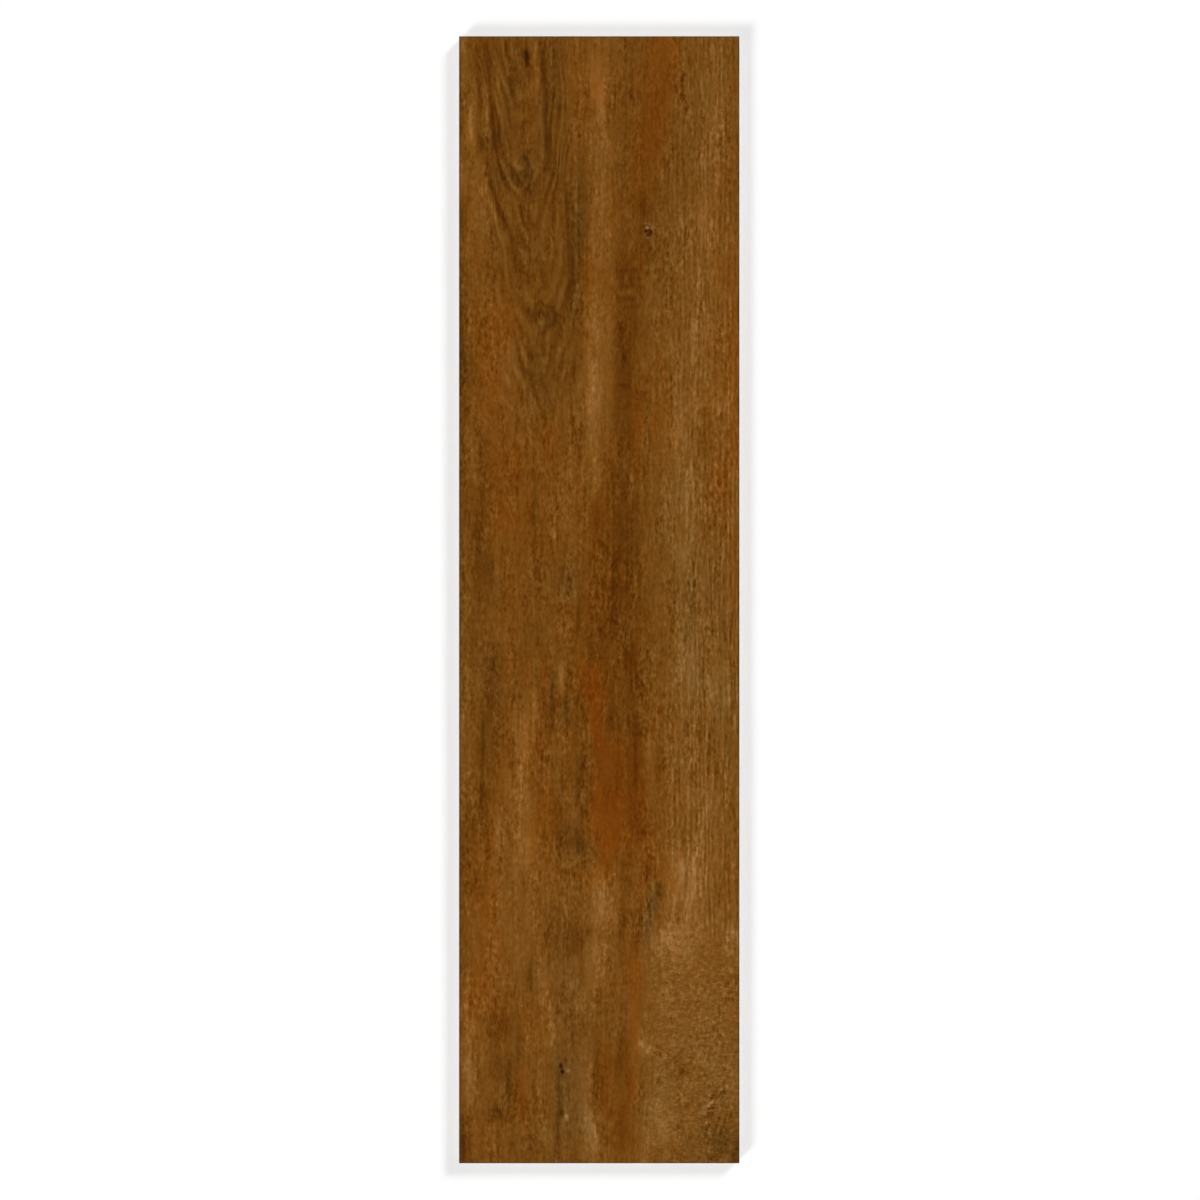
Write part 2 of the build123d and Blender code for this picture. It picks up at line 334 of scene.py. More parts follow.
# Lines of growth, cracks and knots: tone step, russet, half width, and the points each runs through
woodLines = {
    "upperFlame": [
        (0.9, 0.3, 0.9, [(-57.5, 297), (-55, 289), (-52.5, 281), (-51, 274)]),
        (1.2, 0.2, 0.9, [(-61, 273), (-59.8, 260), (-57.8, 247)]),
        (-1.2, -0.3, 1.0, [(-59.8, 234), (-57.8, 221), (-55, 211), (-52, 204)]),
        (1.0, 0.3, 0.9, [(-62.2, 233), (-60.4, 221), (-57.4, 209), (-54.5, 201)]),
        (1.1, 0.6, 0.9, [(-50.5, 227), (-47.5, 221), (-44.5, 218)]),
        (-1.0, -0.3, 1.0, [(-51.5, 227), (-48, 220.5), (-45.5, 217), (-42.5, 213.5)]),
        (-3.5, 0.6, 1.6, [(-39, 291.5), (-38.4, 288), (-38, 284.5)]),
        (1.0, 5.0, 1.5, [(-33.5, 294), (-33, 284), (-32, 274)]),
        (-1.3, -1.0, 1.3, [(-46.2, 281), (-46.5, 276), (-46, 270)]),
        (-1.3, -0.3, 0.8, [(-44.5, 298), (-45, 291), (-45.5, 285)]),
        (-1.3, -0.3, 0.9, [(-60, 296), (-59, 284), (-58, 274), (-57.5, 266)]),
        (-2.1, -0.7, 1.3, [(-56.5, 264), (-56.5, 254), (-56, 247), (-55, 239)]),
        (-1.4, -0.3, 0.9, [(-53.5, 257), (-53, 251), (-53.8, 246), (-54.5, 240)]),
        (-1.8, -0.3, 1.0, [(-64, 276), (-63, 268), (-62.3, 262)]),
        (-2.2, -1.1, 1.3, [(-64, 247), (-62.5, 243), (-63, 238)]),
        (-1.1, 0, 0.8, [(-57, 300), (-55, 292), (-52.5, 286), (-51, 278)]),
        (-2.0, -1.1, 1.2, [(-41.5, 253), (-41, 247), (-42, 242)]),
        (-1.2, -0.3, 0.8, [(-52, 252), (-50.5, 242), (-48.5, 236), (-47.5, 232)]),
        (1.1, 0, 0.9, [(-55, 270), (-53, 260), (-51, 250), (-49, 241)]),
        (-0.9, -0.3, 0.8, [(-48.5, 258), (-48, 250), (-47, 245)]),
        (-1.3, 0, 0.8, [(-54, 240), (-53, 231), (-51.5, 225), (-49, 220), (-47, 217)]),
        (-2.2, 0, 0.9, [(-48, 232), (-46.5, 229.5)]),
        (-1.7, -0.7, 1.0, [(-43, 234), (-40, 235.5), (-37.5, 232), (-36, 227), (-37, 221),
         (-39, 217.5), (-41, 214.5)]),
        (-1.5, -0.3, 1.3, [(-45.5, 226), (-43.5, 222), (-41.5, 221.5), (-39.5, 225), (-38, 228)]),
        (2.0, -0.6, 1.1, [(-47, 233), (-45, 230.5), (-42.5, 229.5), (-40, 229.5)]),
        (-0.6, -1.4, 1.6, [(-39, 228), (-38, 223)]),
        (-0.8, -0.6, 1.0, [(-47.5, 229.5), (-45.5, 227), (-42.5, 226.5), (-40, 228.5)]),
        (1.8, -0.6, 0.9, [(-48.5, 224), (-46, 219.5), (-43, 216)]),
        (1.5, -0.3, 0.9, [(-41, 223.5), (-39.5, 220.5)]),
        (-1.5, -0.3, 1.1, [(-42, 209), (-41, 204), (-39.5, 199)]),
        (1.2, 0, 0.9, [(-44, 208), (-42.5, 201), (-40.5, 195)]),
        (-2.0, -0.7, 1.1, [(-57.5, 223), (-55.5, 215), (-53, 208), (-51, 202), (-48.5, 196), (-46.5, 191)]),
        (-1.1, 0, 0.7, [(-54.5, 210), (-53, 203), (-51, 197)]),
        (0.9, 0, 1.0, [(-56, 206), (-53, 196), (-50, 186), (-48, 178)]),
        (-1.5, -0.3, 1.2, [(-46, 190), (-45, 184), (-44, 176), (-42.5, 170), (-41.5, 165)]),
        (-1.2, 0, 0.7, [(-53, 178), (-51, 172), (-49, 166), (-47, 161)]),
        (-1.1, 0, 0.8, [(-44.5, 189), (-41, 189), (-38.5, 186)]),
        (-1.2, 0, 0.9, [(-37.5, 196), (-37, 191)]),
        (-1.7, -0.9, 1.4, [(-30.5, 296), (-30.5, 286), (-29, 276), (-28, 266), (-28.5, 258)]),
        (-1.4, -0.3, 1.2, [(-28.5, 256), (-28, 246), (-28, 238), (-29, 228)]),
        (0.9, 0, 0.8, [(-31, 262), (-30.5, 250), (-30.5, 240), (-29, 228), (-27, 219)]),
        (-1.1, 0, 0.8, [(-26.5, 252), (-25.5, 245), (-26, 236)]),
        (-1.5, 0, 1.0, [(-21.5, 264), (-21, 260)]),
        (0.7, 1.8, 1.2, [(-34.5, 298), (-34.5, 290), (-34.5, 280), (-34, 273)]),
        (1.3, 0, 1.0, [(-68.5, 262), (-68, 252), (-67.5, 244)]),
        (-1.2, -2.4, 1.1, [(-17.6, 220), (-17.4, 205), (-16.5, 190), (-16, 178)]),
        (-1.1, -2.0, 1.0, [(-16, 178), (-16, 165), (-15.5, 150)]),
    ],
    "lowerFlame": [
        (-1.5, -0.7, 1.2, [(-30.5, 179), (-30, 173), (-29.5, 168)]),
        (-1.3, -0.7, 1.0, [(-38, 157), (-36, 152), (-33.5, 148), (-31.5, 145)]),
        (-1.7, -1.1, 1.3, [(-31, 158), (-28, 156), (-25, 155), (-23.5, 151), (-24, 147), (-27, 145),
         (-29, 142.5)]),
        (-1.3, -0.7, 1.3, [(-33, 150), (-30, 153), (-28, 151)]),
        (1.0, -0.7, 0.9, [(-32, 148), (-30.5, 147)]),
        (0.7, 0, 0.9, [(-37, 148), (-34, 144.5)]),
        (-1.3, 0, 0.8, [(-45, 143), (-43, 136), (-42, 130), (-40.5, 125), (-38, 121), (-35.5, 117)]),
        (-0.8, 0, 0.7, [(-41, 141), (-40, 136)]),
        (-1.7, 0, 1.2, [(-38.5, 133), (-36.5, 130), (-35, 127)]),
        (-1.0, 0, 0.8, [(-31, 131), (-28, 131.5), (-25, 128), (-24, 125)]),
        (-1.0, 0, 0.8, [(-31, 126), (-29, 123.5), (-26.5, 123)]),
        (-1.5, -0.3, 1.2, [(-24.5, 122), (-24, 117)]),
        (-1.2, -0.3, 1.5, [(-37, 121), (-35, 116), (-36, 111)]),
        (-0.9, -0.3, 1.1, [(-31, 117), (-29, 112), (-27, 110)]),
        (-0.9, -0.3, 0.9, [(-27, 137), (-25, 134), (-22, 135.5)]),
    ],
    "leftSide": [
        (1.7, -0.4, 0.9, [(-69.5, 83), (-67.5, 79), (-65.5, 77)]),
        (1.5, -0.4, 0.9, [(-69.5, 71.5), (-66, 71.5), (-62, 71.3)]),
        (1.4, 0, 0.9, [(-68.5, 65), (-66, 65.5), (-64.5, 68)]),
        (1.8, -0.4, 0.9, [(-72.2, 64), (-70, 65.5)]),
        (1.6, -0.4, 0.9, [(-71.5, 51), (-69.5, 49.5), (-68.8, 47)]),
        (1.5, 0, 0.8, [(-72.6, 47), (-72.6, 44)]),
        (1.6, 0, 0.8, [(-72.3, 22), (-72.3, 18)]),
        (1.3, 0, 0.8, [(-60.3, 29), (-61.6, 26.5)]),
        (1.2, 0, 0.8, [(-66, 0), (-67, -2.5)]),
        (1.2, 0, 0.8, [(-68.5, -4), (-69, -7)]),
        (1.3, 0, 0.9, [(-72.5, -10), (-72.3, -22)]),
        (-1.2, -0.7, 1.0, [(-58, 34), (-58, 20), (-57, 5)]),
        (-1.0, -0.3, 0.8, [(-66, 50), (-65, 38), (-64, 25)]),
        (-1.2, -1.1, 1.0, [(-35, 62), (-35, 45), (-34.5, 30)]),
        (0.2, 1.8, 1.0, [(-37, 64), (-36.8, 46)]),
        (0.8, 0, 1.0, [(-31, 50), (-30, 43)]),
        (-0.8, -0.3, 0.8, [(-44, 67), (-38, 66), (-33, 67)]),
        (1.0, 0, 0.8, [(-70, 66), (-66, 65), (-64, 68)]),
        (0.8, 0, 0.8, [(-69, 83), (-67, 79), (-64, 76)]),
        (0.7, 0, 0.9, [(-16, 88), (-16, 78), (-15, 70), (-15, 62)]),
        (-1.6, 0, 0.9, [(-13, 78), (-12.5, 75.5)]),
        (-1.3, -0.7, 1.1, [(-19.5, 17), (-19.5, 9)]),
        (-1.2, -0.7, 1.0, [(-18, 8), (-14, 6)]),
        (0.7, 0.7, 1.0, [(-36, 22), (-35.5, 5)]),
        (-1.4, -1.1, 1.1, [(-11.5, -2), (-11.5, -10), (-11, -17)]),
        (-1.4, 0, 0.9, [(-33.5, -20), (-32.5, -25)]),
        (-1.0, -0.3, 0.8, [(-59, -35), (-58.5, -55), (-59, -75)]),
        (-1.3, -0.3, 0.9, [(-56.5, -49), (-56.5, -58)]),
        (-1.4, -0.3, 1.0, [(-62, -62), (-61.5, -75), (-62, -88)]),
        (1.0, 0.3, 1.5, [(-35.5, -50), (-34.5, -60), (-35, -75), (-36, -90)]),
        (1.0, 0, 0.7, [(-34, -44), (-34, -56), (-34.2, -64)]),
        (-1.3, 0, 0.8, [(-31.5, -70), (-31, -85)]),
        (-1.4, -1.1, 1.4, [(-63, -100), (-62.5, -112)]),
        (-1.1, 0, 1.2, [(-67, -116), (-67, -128)]),
        (1.3, 0, 1.0, [(-63, -129), (-61.5, -132)]),
        (-1.4, 0, 0.9, [(-58, -129), (-58.5, -136)]),
        (-1.4, 0, 0.8, [(-48, -120), (-47.5, -127)]),
        (-1.2, 0, 0.8, [(-39.5, -150), (-39.5, -158)]),
        (-1.2, 0, 1.0, [(-35, -182), (-35, -187)]),
        (-1.3, -0.7, 1.3, [(-37, -193), (-36.5, -208)]),
        (-0.8, 0, 0.8, [(-33, -205), (-33, -222)]),
        (0.8, 0.7, 1.2, [(-26, -200), (-26, -215), (-26.5, -232)]),
        (-1.1, -0.7, 0.8, [(-25, -205), (-25, -225)]),
        (-1.1, 0, 1.3, [(-53.5, -222), (-52, -232)]),
        (-1.4, -0.7, 1.3, [(-48, -245), (-48, -255), (-48, -262), (-47, -268)]),
        (-1.4, -0.3, 1.0, [(-54.5, -241), (-54.5, -248)]),
        (-1.4, 0, 1.4, [(-54, -270), (-52, -275)]),
        (-1.1, -0.3, 1.3, [(-33.5, -270), (-33.5, -285), (-33, -295)]),
        (-1.2, 0, 1.6, [(-72, -285), (-72, -298)]),
    ],
    "darkHeart": [
        (-1.4, -1.2, 1.3, [(-25, -40), (-25, -50), (-25, -62), (-24.5, -68)]),
        (1.2, 0.3, 1.3, [(-20.5, -35), (-20.5, -42), (-20, -50)]),
        (-1.3, -0.7, 1.0, [(-15.5, -37), (-16, -42)]),
        (-1.1, -0.7, 1.3, [(-18.5, -52), (-18, -62), (-17.5, -66)]),
        (-0.8, -1.1, 1.2, [(-15.5, -46), (-16.5, -54)]),
        (0.2, 2.8, 1.2, [(-9, -30), (-9, -38)]),
        (0.3, -1.1, 1.0, [(-8.5, -52), (-8, -62), (-9, -70)]),
        (-0.5, -0.6, 1.6, [(-8, -86), (-8, -92), (-9, -100)]),
        (-0.6, -1.1, 1.8, [(-22, -116), (-22, -128), (-21, -138)]),
        (-1.6, -1.4, 1.1, [(-12, -120), (-12, -128), (-11.5, -135)]),
        (-1.1, -1.4, 1.5, [(-9, -126), (-8.5, -134)]),
        (-1.3, 0, 0.8, [(-10, -110), (-10, -113)]),
        (-1.0, -0.3, 0.8, [(-28.5, -158), (-28.5, -172), (-27.5, -182), (-26.5, -192), (-26.5, -200)]),
        (-1.3, -0.3, 1.1, [(-24.5, -162), (-24, -167)]),
        (-1.0, -0.3, 1.3, [(-23, -179), (-24, -188)]),
        (-1.0, -0.3, 1.3, [(-18, -181), (-17, -191)]),
        (-1.0, -0.3, 1.0, [(-11, -177), (-9, -183)]),
        (-1.1, -0.3, 1.1, [(-13, -181), (-13, -187)]),
        (0.8, 0, 0.9, [(-13, -189), (-12, -195)]),
        (1.2, 0, 1.1, [(-17, -229), (-16, -233)]),
        (0.8, -0.7, 1.4, [(-10.5, -213), (-10, -222)]),
    ],
    "bottomCrack": [
        (-1.6, 0.6, 1.3, [(-20.6, -247), (-20, -249.5), (-19.4, -251.5)]),
        (1.2, -0.9, 0.9, [(-16.8, -245), (-16.8, -251)]),
        (-1.1, -1.6, 0.8, [(-22.5, -244), (-19.5, -242.5)]),
        (-2.1, -2.9, 1.5, [(-21, -252), (-21.5, -260), (-21.5, -270), (-22, -280), (-22, -290),
         (-21.5, -299)]),
        (-4.3, -1.4, 1.0, [(-20, -271), (-19.6, -274)]),
        (3.6, 0, 1.1, [(-18, -273.3), (-17.4, -275.5)]),
    ],
    "middleTop": [
        (1.2, 0, 1.0, [(2, 262), (2.5, 255)]),
        (1.6, 0, 1.0, [(2.5, 243.5), (2, 241)]),
        (1.2, 0, 1.0, [(2, 228), (3, 220)]),
        (-1.0, -0.3, 1.0, [(16.5, 293), (17, 280), (16.5, 270)]),
        (-0.8, -0.3, 0.9, [(6, 292), (7, 283)]),
        (-0.8, -0.3, 0.9, [(10, 286), (10, 276)]),
        (-1.0, -0.3, 2.4, [(14, 267), (17, 267)]),
        (-0.8, 0, 1.0, [(24, 275), (26, 286)]),
        (-1.1, -0.3, 1.1, [(23, 213), (24, 204)]),
        (1.4, 0, 0.9, [(31, 207), (31.5, 205.5)]),
        (-0.7, 2.1, 1.2, [(27, 217), (30, 219)]),
        (-1.1, -0.3, 1.0, [(35, 232), (36, 222), (36, 212)]),
    ],
    "pinKnot": [
        (-1.1, 0, 2.6, [(26, 190), (26.5, 181)]),
    ],
    "ladderMarks": [
        (-1.4, 0, 0.8, [(10, 175), (20, 174.5)]),
        (-1.4, 0, 0.8, [(11, 167), (19, 166.5)]),
        (-1.6, 0, 0.8, [(12.3, 174), (12.3, 167)]),
        (-1.6, 0, 0.8, [(16.5, 173), (16.5, 167)]),
        (-2.3, 0, 0.9, [(10.5, 160), (19.5, 160)]),
        (1.6, 0, 0.9, [(14.3, 172), (14.3, 169)]),
        (1.3, 0, 0.9, [(12, 163.5), (18, 162.8)]),
        (-2.3, 0.9, 1.3, [(12.5, 133), (14, 126)]),
        (-1.8, 0, 0.8, [(10.5, 114), (17, 113)]),
    ],
    "trunkMiddle": [
        (-0.8, -0.3, 1.5, [(12.5, 61), (12, 52)]),
        (-1.0, 0, 1.1, [(-1, 49), (-1, 34)]),
        (-1.0, -0.8, 1.7, [(8, 22.5), (8.6, 18)]),
        (-0.7, -0.3, 1.0, [(8, 12), (8, 5)]),
        (-1.7, 1.4, 0.9, [(6.5, -5), (6.5, -14), (6.8, -22)]),
        (1.0, 0.7, 0.7, [(11.5, -8), (11.5, -18), (12, -28), (11, -38)]),
        (-0.6, -0.3, 1.6, [(15.5, -27), (16.5, -36)]),
        (-1.4, -0.3, 1.2, [(6.5, -59), (6.5, -67)]),
        (-1.1, -0.3, 1.5, [(14, -62), (18, -66)]),
        (-1.4, 0, 0.9, [(20, -60), (19.5, -75), (19.5, -90), (19, -98)]),
        (-1.0, -0.3, 1.0, [(16.5, -40), (16, -53)]),
        (1.0, 0.7, 0.8, [(-4, 82), (-3, 71)]),
        (-0.8, 0.7, 2.4, [(17, -118), (20, -123)]),
    ],
    "greyCrack": [
        (-1.1, -0.4, 2.3, [(12, -140), (17, -141)]),
        (1.2, 0, 0.6, [(18, -140), (23, -141.5)]),
        (1.2, 0, 0.6, [(18, -144.5), (23, -143.5)]),
        (-1.1, 0, 0.8, [(10, -146), (14, -149.5), (19, -150), (23, -147)]),
        (-1.4, 0.8, 1.1, [(26.5, -136), (26, -145), (25, -152)]),
        (-1.1, 0, 0.7, [(27, -135), (29.5, -142)]),
        (-0.5, -2.6, 2.2, [(30.5, -152), (28.5, -159), (27, -165), (26, -172)]),
        (-1.1, -3.6, 1.1, [(26.3, -171), (25.8, -178), (25.6, -184)]),
        (-0.7, -0.8, 0.9, [(31, -152), (32.5, -158), (33.5, -163)]),
        (-1.0, -1.2, 1.0, [(26, -160), (26.5, -165)]),
        (0.3, 2.5, 1.2, [(34, -163), (31, -170), (30, -174)]),
        (-1.4, -0.4, 1.2, [(10, -176), (12.5, -180)]),
        (-1.1, 0, 0.9, [(13.5, -165), (14, -174)]),
    ],
    "rightBand": [
        (1.3, 0, 0.8, [(53, 176), (52, 160), (52, 150), (51, 140), (49.5, 130), (49, 124)]),
        (0.8, 0, 0.7, [(56.5, 152), (57, 134)]),
        (-1.3, 0, 0.9, [(38, 160), (39.5, 158)]),
        (-1.4, 0, 0.8, [(42, 163), (41.5, 158)]),
        (-1.4, 0, 0.7, [(51, 263), (51, 250), (51, 238)]),
        (-1.2, 0, 0.8, [(44, 279), (44.5, 266), (46, 261)]),
        (-1.1, 0, 0.8, [(45, 240), (45, 226), (44.5, 215)]),
        (-1.2, 0, 1.0, [(69, 236), (69, 224), (69, 209)]),
        (1.0, 0, 1.0, [(45.5, 60), (46, 50), (46.5, 40)]),
        (0.8, 0, 0.8, [(53, 66), (54, 55), (53, 46)]),
        (-1.1, 1.4, 1.1, [(57, 40), (56, 34)]),
        (1.2, 0, 0.9, [(70.5, 38.5), (68, 37)]),
        (-1.4, 0, 1.0, [(50, 12), (51, 7)]),
        (-1.6, -0.3, 1.4, [(50, -2), (49, -5)]),
        (0.9, -0.3, 0.7, [(43, -18), (43, -35), (42.5, -50)]),
        (0.9, -0.3, 0.7, [(47.5, -12), (48, -28), (48, -42)]),
        (0.8, 0, 0.7, [(60.5, -38), (60.5, -55), (60, -70)]),
        (1.8, -0.3, 0.8, [(67.2, -52.5), (68.2, -55)]),
        (1.0, 0.7, 1.0, [(26.5, -76), (27, -84)]),
        (-1.1, 0, 1.3, [(53.5, -64), (55, -67)]),
        (1.6, 0, 0.9, [(45, -138), (43, -150), (40, -162), (38.5, -170)]),
        (1.7, 0, 0.9, [(52, -128), (50.5, -140), (51, -152), (48, -164), (46, -172)]),
        (1.0, 0, 0.8, [(56.5, -98), (55.5, -112), (55, -122)]),
        (-1.4, 0, 0.8, [(48, -134), (47, -150), (44, -163), (42, -170)]),
        (-0.8, 0, 0.7, [(54.5, -132), (53, -146), (51, -160)]),
    ],
    "crossGrain": [
        (0.8, 0, 0.8, [(58, -268.5), (62, -264)]),
        (0.8, 0, 0.8, [(60, -262), (63.5, -258)]),
        (0.8, 0, 0.8, [(63.5, -258), (67, -254)]),
        (0.8, 0, 0.8, [(54, -273.5), (58, -271)]),
        (0.8, 0, 0.8, [(65, -262.5), (68.5, -257.5)]),
        (0.8, 0, 0.8, [(56, -278), (61, -275)]),
        (-1.7, 0, 0.8, [(59, -266), (62.5, -261.5)]),
        (-1.7, 0, 0.8, [(62.5, -260), (66, -256)]),
        (-1.6, 0, 0.8, [(55, -275.5), (60, -272.5)]),
        (-1.5, 0, 0.8, [(64, -265), (68, -260)]),
        (0.7, 0, 0.7, [(38, -178), (48, -177), (55, -173), (61, -170), (67, -173)]),
        (-0.6, 0, 0.7, [(38, -180), (48, -179), (55, -175.5), (61, -172.5), (66, -175)]),
        (0.6, 0, 0.7, [(40, -182), (49, -181), (56, -178), (61, -175.5), (65, -178)]),
        (2.4, 0, 0.8, [(67, -178.5), (69, -181)]),
        (2.4, 0, 0.8, [(70, -175.5), (71.5, -177)]),
        (2.2, 0, 0.8, [(66, -184), (68.5, -186)]),
        (2.4, 0, 0.8, [(68, -189), (71, -186.5)]),
        (2.1, 0, 0.8, [(69, -195.5), (71, -198.5)]),
        (1.9, 0, 0.8, [(65, -208), (68, -210)]),
        (1.9, 0, 0.8, [(70.5, -146), (71.5, -148)]),
        (2.1, 0, 0.9, [(20.5, -237.5), (22.3, -235), (23.5, -238)]),
        (2.1, 0, 0.9, [(24, -241), (26, -239.5), (27.5, -236.5)]),
        (-1.9, 0, 0.8, [(61.5, -265), (66, -260)]),
        (1.6, 0, 0.7, [(62.5, -262.5), (66.5, -257.5)]),
        (-1.9, 0, 0.8, [(56.5, -272), (61, -269)]),
        (1.6, 0, 0.7, [(55.5, -270.5), (60, -267)]),
        (-1.1, 0, 2.0, [(43, -248), (46, -252)]),
        (-0.8, -1.2, 3.0, [(63, -283), (65, -292)]),
        (-1.2, -0.8, 2.2, [(73, -287), (73, -297)]),
        (-1.3, 0, 0.8, [(57.5, -281), (60.5, -272)]),
        (-1.3, 0, 0.8, [(60.5, -284), (64, -273)]),
        (-1.3, 0, 0.8, [(64, -284), (67.5, -273)]),
        (-1.2, 0, 0.8, [(67, -282), (70, -272)]),
        (1.1, 0, 0.8, [(62.2, -284), (65.7, -273)]),
        (1.1, 0, 0.8, [(65.6, -284), (69, -273)]),
    ],
    "bottomMiddle": [
        (-1.1, -0.3, 1.5, [(11, -239), (12, -250)]),
        (-1.1, 0.7, 0.9, [(14.5, -235), (14.5, -246)]),
        (-1.3, -1.1, 1.2, [(-1.5, -240), (-1.2, -252), (-0.8, -263)]),
        (-1.2, -0.3, 0.8, [(14, -250), (15, -262)]),
        (1.2, 0, 1.0, [(-4, -274), (-2, -284), (1, -291), (4, -298)]),
        (-1.2, -0.3, 1.5, [(12.5, -281), (12.5, -293)]),
        (-0.6, 2.1, 1.2, [(18, -284), (18, -291)]),
    ],
}


# How close each point is to a line of growth: 1 on it, fading over its half width and toward its ends
def lineMask(x, y, halfWidth, points):
    endInk = 0.55  # strength at the two ends
    spans = [math.dist(a, b) for a, b in zip(points, points[1:])]
    mask, run = np.zeros_like(x), 0.0
    for (x0, y0), (x1, y1), span in zip(points, points[1:], spans):
        part = np.clip(((x - x0) * (x1 - x0) + (y - y0) * (y1 - y0)) / span**2, 0, 1)
        gap = np.hypot(x - x0 - part * (x1 - x0), y - y0 - part * (y1 - y0))
        strength = endInk + (1 - endInk) * np.sin(math.pi * (run + part * span) / sum(spans))
        mask = np.maximum(mask, strength * np.exp(-((gap / halfWidth) ** 2)))
        run += span
    return mask


# Where each kind of grain shows, in millimetres from the middle of the face
grainZones = {
    "wander": ((0.7, 6, 24), (0.4, 2.4, 9)),  # sideways drift: amount, cell across, cell along
    "climb": (2.5, 3, 30),  # drift along the plank, in the same terms
    "lineWander": 0.5,  # the share of the sideways drift that drawn lines follow
    "streakSides": (2, 3),  # powers across and along: the higher, the crisper
    "patchSides": (5, 6),
    # wavy band of the right side: it starts along a swaying line, and is weaker at the top
    "bandStart": 36,
    "bandSway": (5, 60),
    "bandRise": 10,
    "bandFoot": (-195, -165),
    "bandHead": (40, 160),
    "bandHeadLoss": 0.3,
    # cross grain of the lower right corner
    "crossSide": (20, 34),
    "crossDepth": (160, 202),
    # nested flame figure of the upper left, opening upwards round a leaning middle line
    "figureMiddle": (-40, 285, 0.062),
    "figureSway": (1.6, 6, 18),
    "figureTall": (150, 230),  # a V below, and a tall U above
    "figureSlope": (2.8, 2.3),  # of the V, and what the U loses of it
    "figureCurve": 0.21,
    "figureWaver": (5, 9, 16),
    "figureReach": (27, 9),  # half width, and its fade
    "figureFoot": (60, 120),
}

# Where the fine grain is calmer than elsewhere, and how much, from 0 to 1
calmPlaces = {
    "upperMiddle": (0.75, 8, 19, 170, 105),  # amount, across, half width, along, half length
    "heart": (0.28, -5, 13),  # amount, across, half width
    "figure": 0.6,
    "leftSide": 0.3,
    "leftStart": (22, 36),  # left of the middle
    "leftEnd": (-75, -65),
    "darkPlaces": (0.7, 0.8, 2.6),  # amount, and the tone steps below the middle where it starts and is full
}


# How far a value has left a broad hump: near 0 over most of its width, and over 1 outside
def falloff(value, centre, halfWidth):
    return ((value - centre) / halfWidth) ** 4


# Painted masks for the face: tone and russet of the print, and where each kind of grain shows
def paintFace(across, along):
    x, y = across / mm, along / mm
    seed, zone, calm = press["seed"], grainZones, calmPlaces

    def drift(amount, cellAcross, cellAlong, step):
        return amount * softNoise(x, y, cellAcross, cellAlong, seed + step)

    wander = drift(*zone["wander"][0], 0) + drift(*zone["wander"][1], 1)
    climb = drift(*zone["climb"], 2)
    tone = np.zeros_like(x)
    russet = np.zeros_like(x)
    for kinds, sides in ((woodStreaks, zone["streakSides"]), (woodPatches, zone["patchSides"])):
        for rows in kinds.values():
            for atAcross, atAlong, halfWidth, halfLength, lean, toneStep, russetStep in rows:
                v = (y + climb - atAlong) / halfLength
                u = (x + wander - atAcross - lean * (y - atAlong)) / halfWidth
                mask = np.exp(-np.abs(u) ** sides[0] - np.abs(v) ** sides[1])
                tone += toneStep * mask
                russet += russetStep * mask
    for group, rows in woodLines.items():
        ink, tint = press["lineInk"].get(group, (1.0, 1.0))
        for toneStep, russetStep, halfWidth, points in rows:
            mask = lineMask(x + zone["lineWander"] * wander, y, halfWidth, points)
            tone += ink * toneStep * mask
            russet += tint * russetStep * mask
    sway, swayCell = zone["bandSway"]
    bandStart = zone["bandStart"] + sway * softNoise(x * 0, y, 1, swayCell, seed + 3)
    band = smoothStep(x, bandStart, bandStart + zone["bandRise"]) * smoothStep(y, *zone["bandFoot"])
    band *= 1 - zone["bandHeadLoss"] * smoothStep(y, *zone["bandHead"])
    cross = smoothStep(x, *zone["crossSide"]) * smoothStep(-y, *zone["crossDepth"])
    middleAcross, middleAlong, middleLean = zone["figureMiddle"]
    middle = middleAcross + (middleAlong - y) * middleLean
    offset = np.abs(x - middle + drift(*zone["figureSway"], 4))
    tall = smoothStep(y, *zone["figureTall"])
    slope, slopeLoss = zone["figureSlope"]
    flame = y - (slope - slopeLoss * tall) * offset - zone["figureCurve"] * tall * offset**2
    flame = flame + drift(*zone["figureWaver"], 5)
    halfFigure, figureFade = zone["figureReach"]
    figure = smoothStep(halfFigure - offset, 0, figureFade) * smoothStep(y, *zone["figureFoot"])
    # the calmer places, and with them the russet patches
    amount, atAcross, halfWidth, atAlong, halfLength = calm["upperMiddle"]
    smooth = amount * np.exp(-falloff(x, atAcross, halfWidth) - falloff(y, atAlong, halfLength))
    for atAcross, atAlong, halfWidth, halfLength, lean, *steps in woodPatches["russetPatches"]:
        side = falloff(x, atAcross + lean * (y - atAlong), halfWidth)
        here = np.exp(-side - falloff(y, atAlong, halfLength))
        smooth = np.maximum(smooth, here)
    left = smoothStep(-x, *calm["leftStart"]) * smoothStep(x, *calm["leftEnd"])
    amount, atAcross, halfWidth = calm["heart"]
    heart = amount * np.exp(-falloff(x, atAcross, halfWidth))
    amount, darkFrom, darkTo = calm["darkPlaces"]
    dark = amount * smoothStep(-tone, darkFrom, darkTo)
    for here in (calm["figure"] * figure, calm["leftSide"] * left, heart, dark):
        smooth = np.maximum(smooth, here)
    return {
        "streakTone": press["printTone"] * tone,
        "streakRusset": press["printRusset"] * russet,
        "bandGrain": band,
        "crossGrain": cross,
        "figureGrain": figure,
        "figurePhase": flame,
        "smoothGrain": smooth,
    }


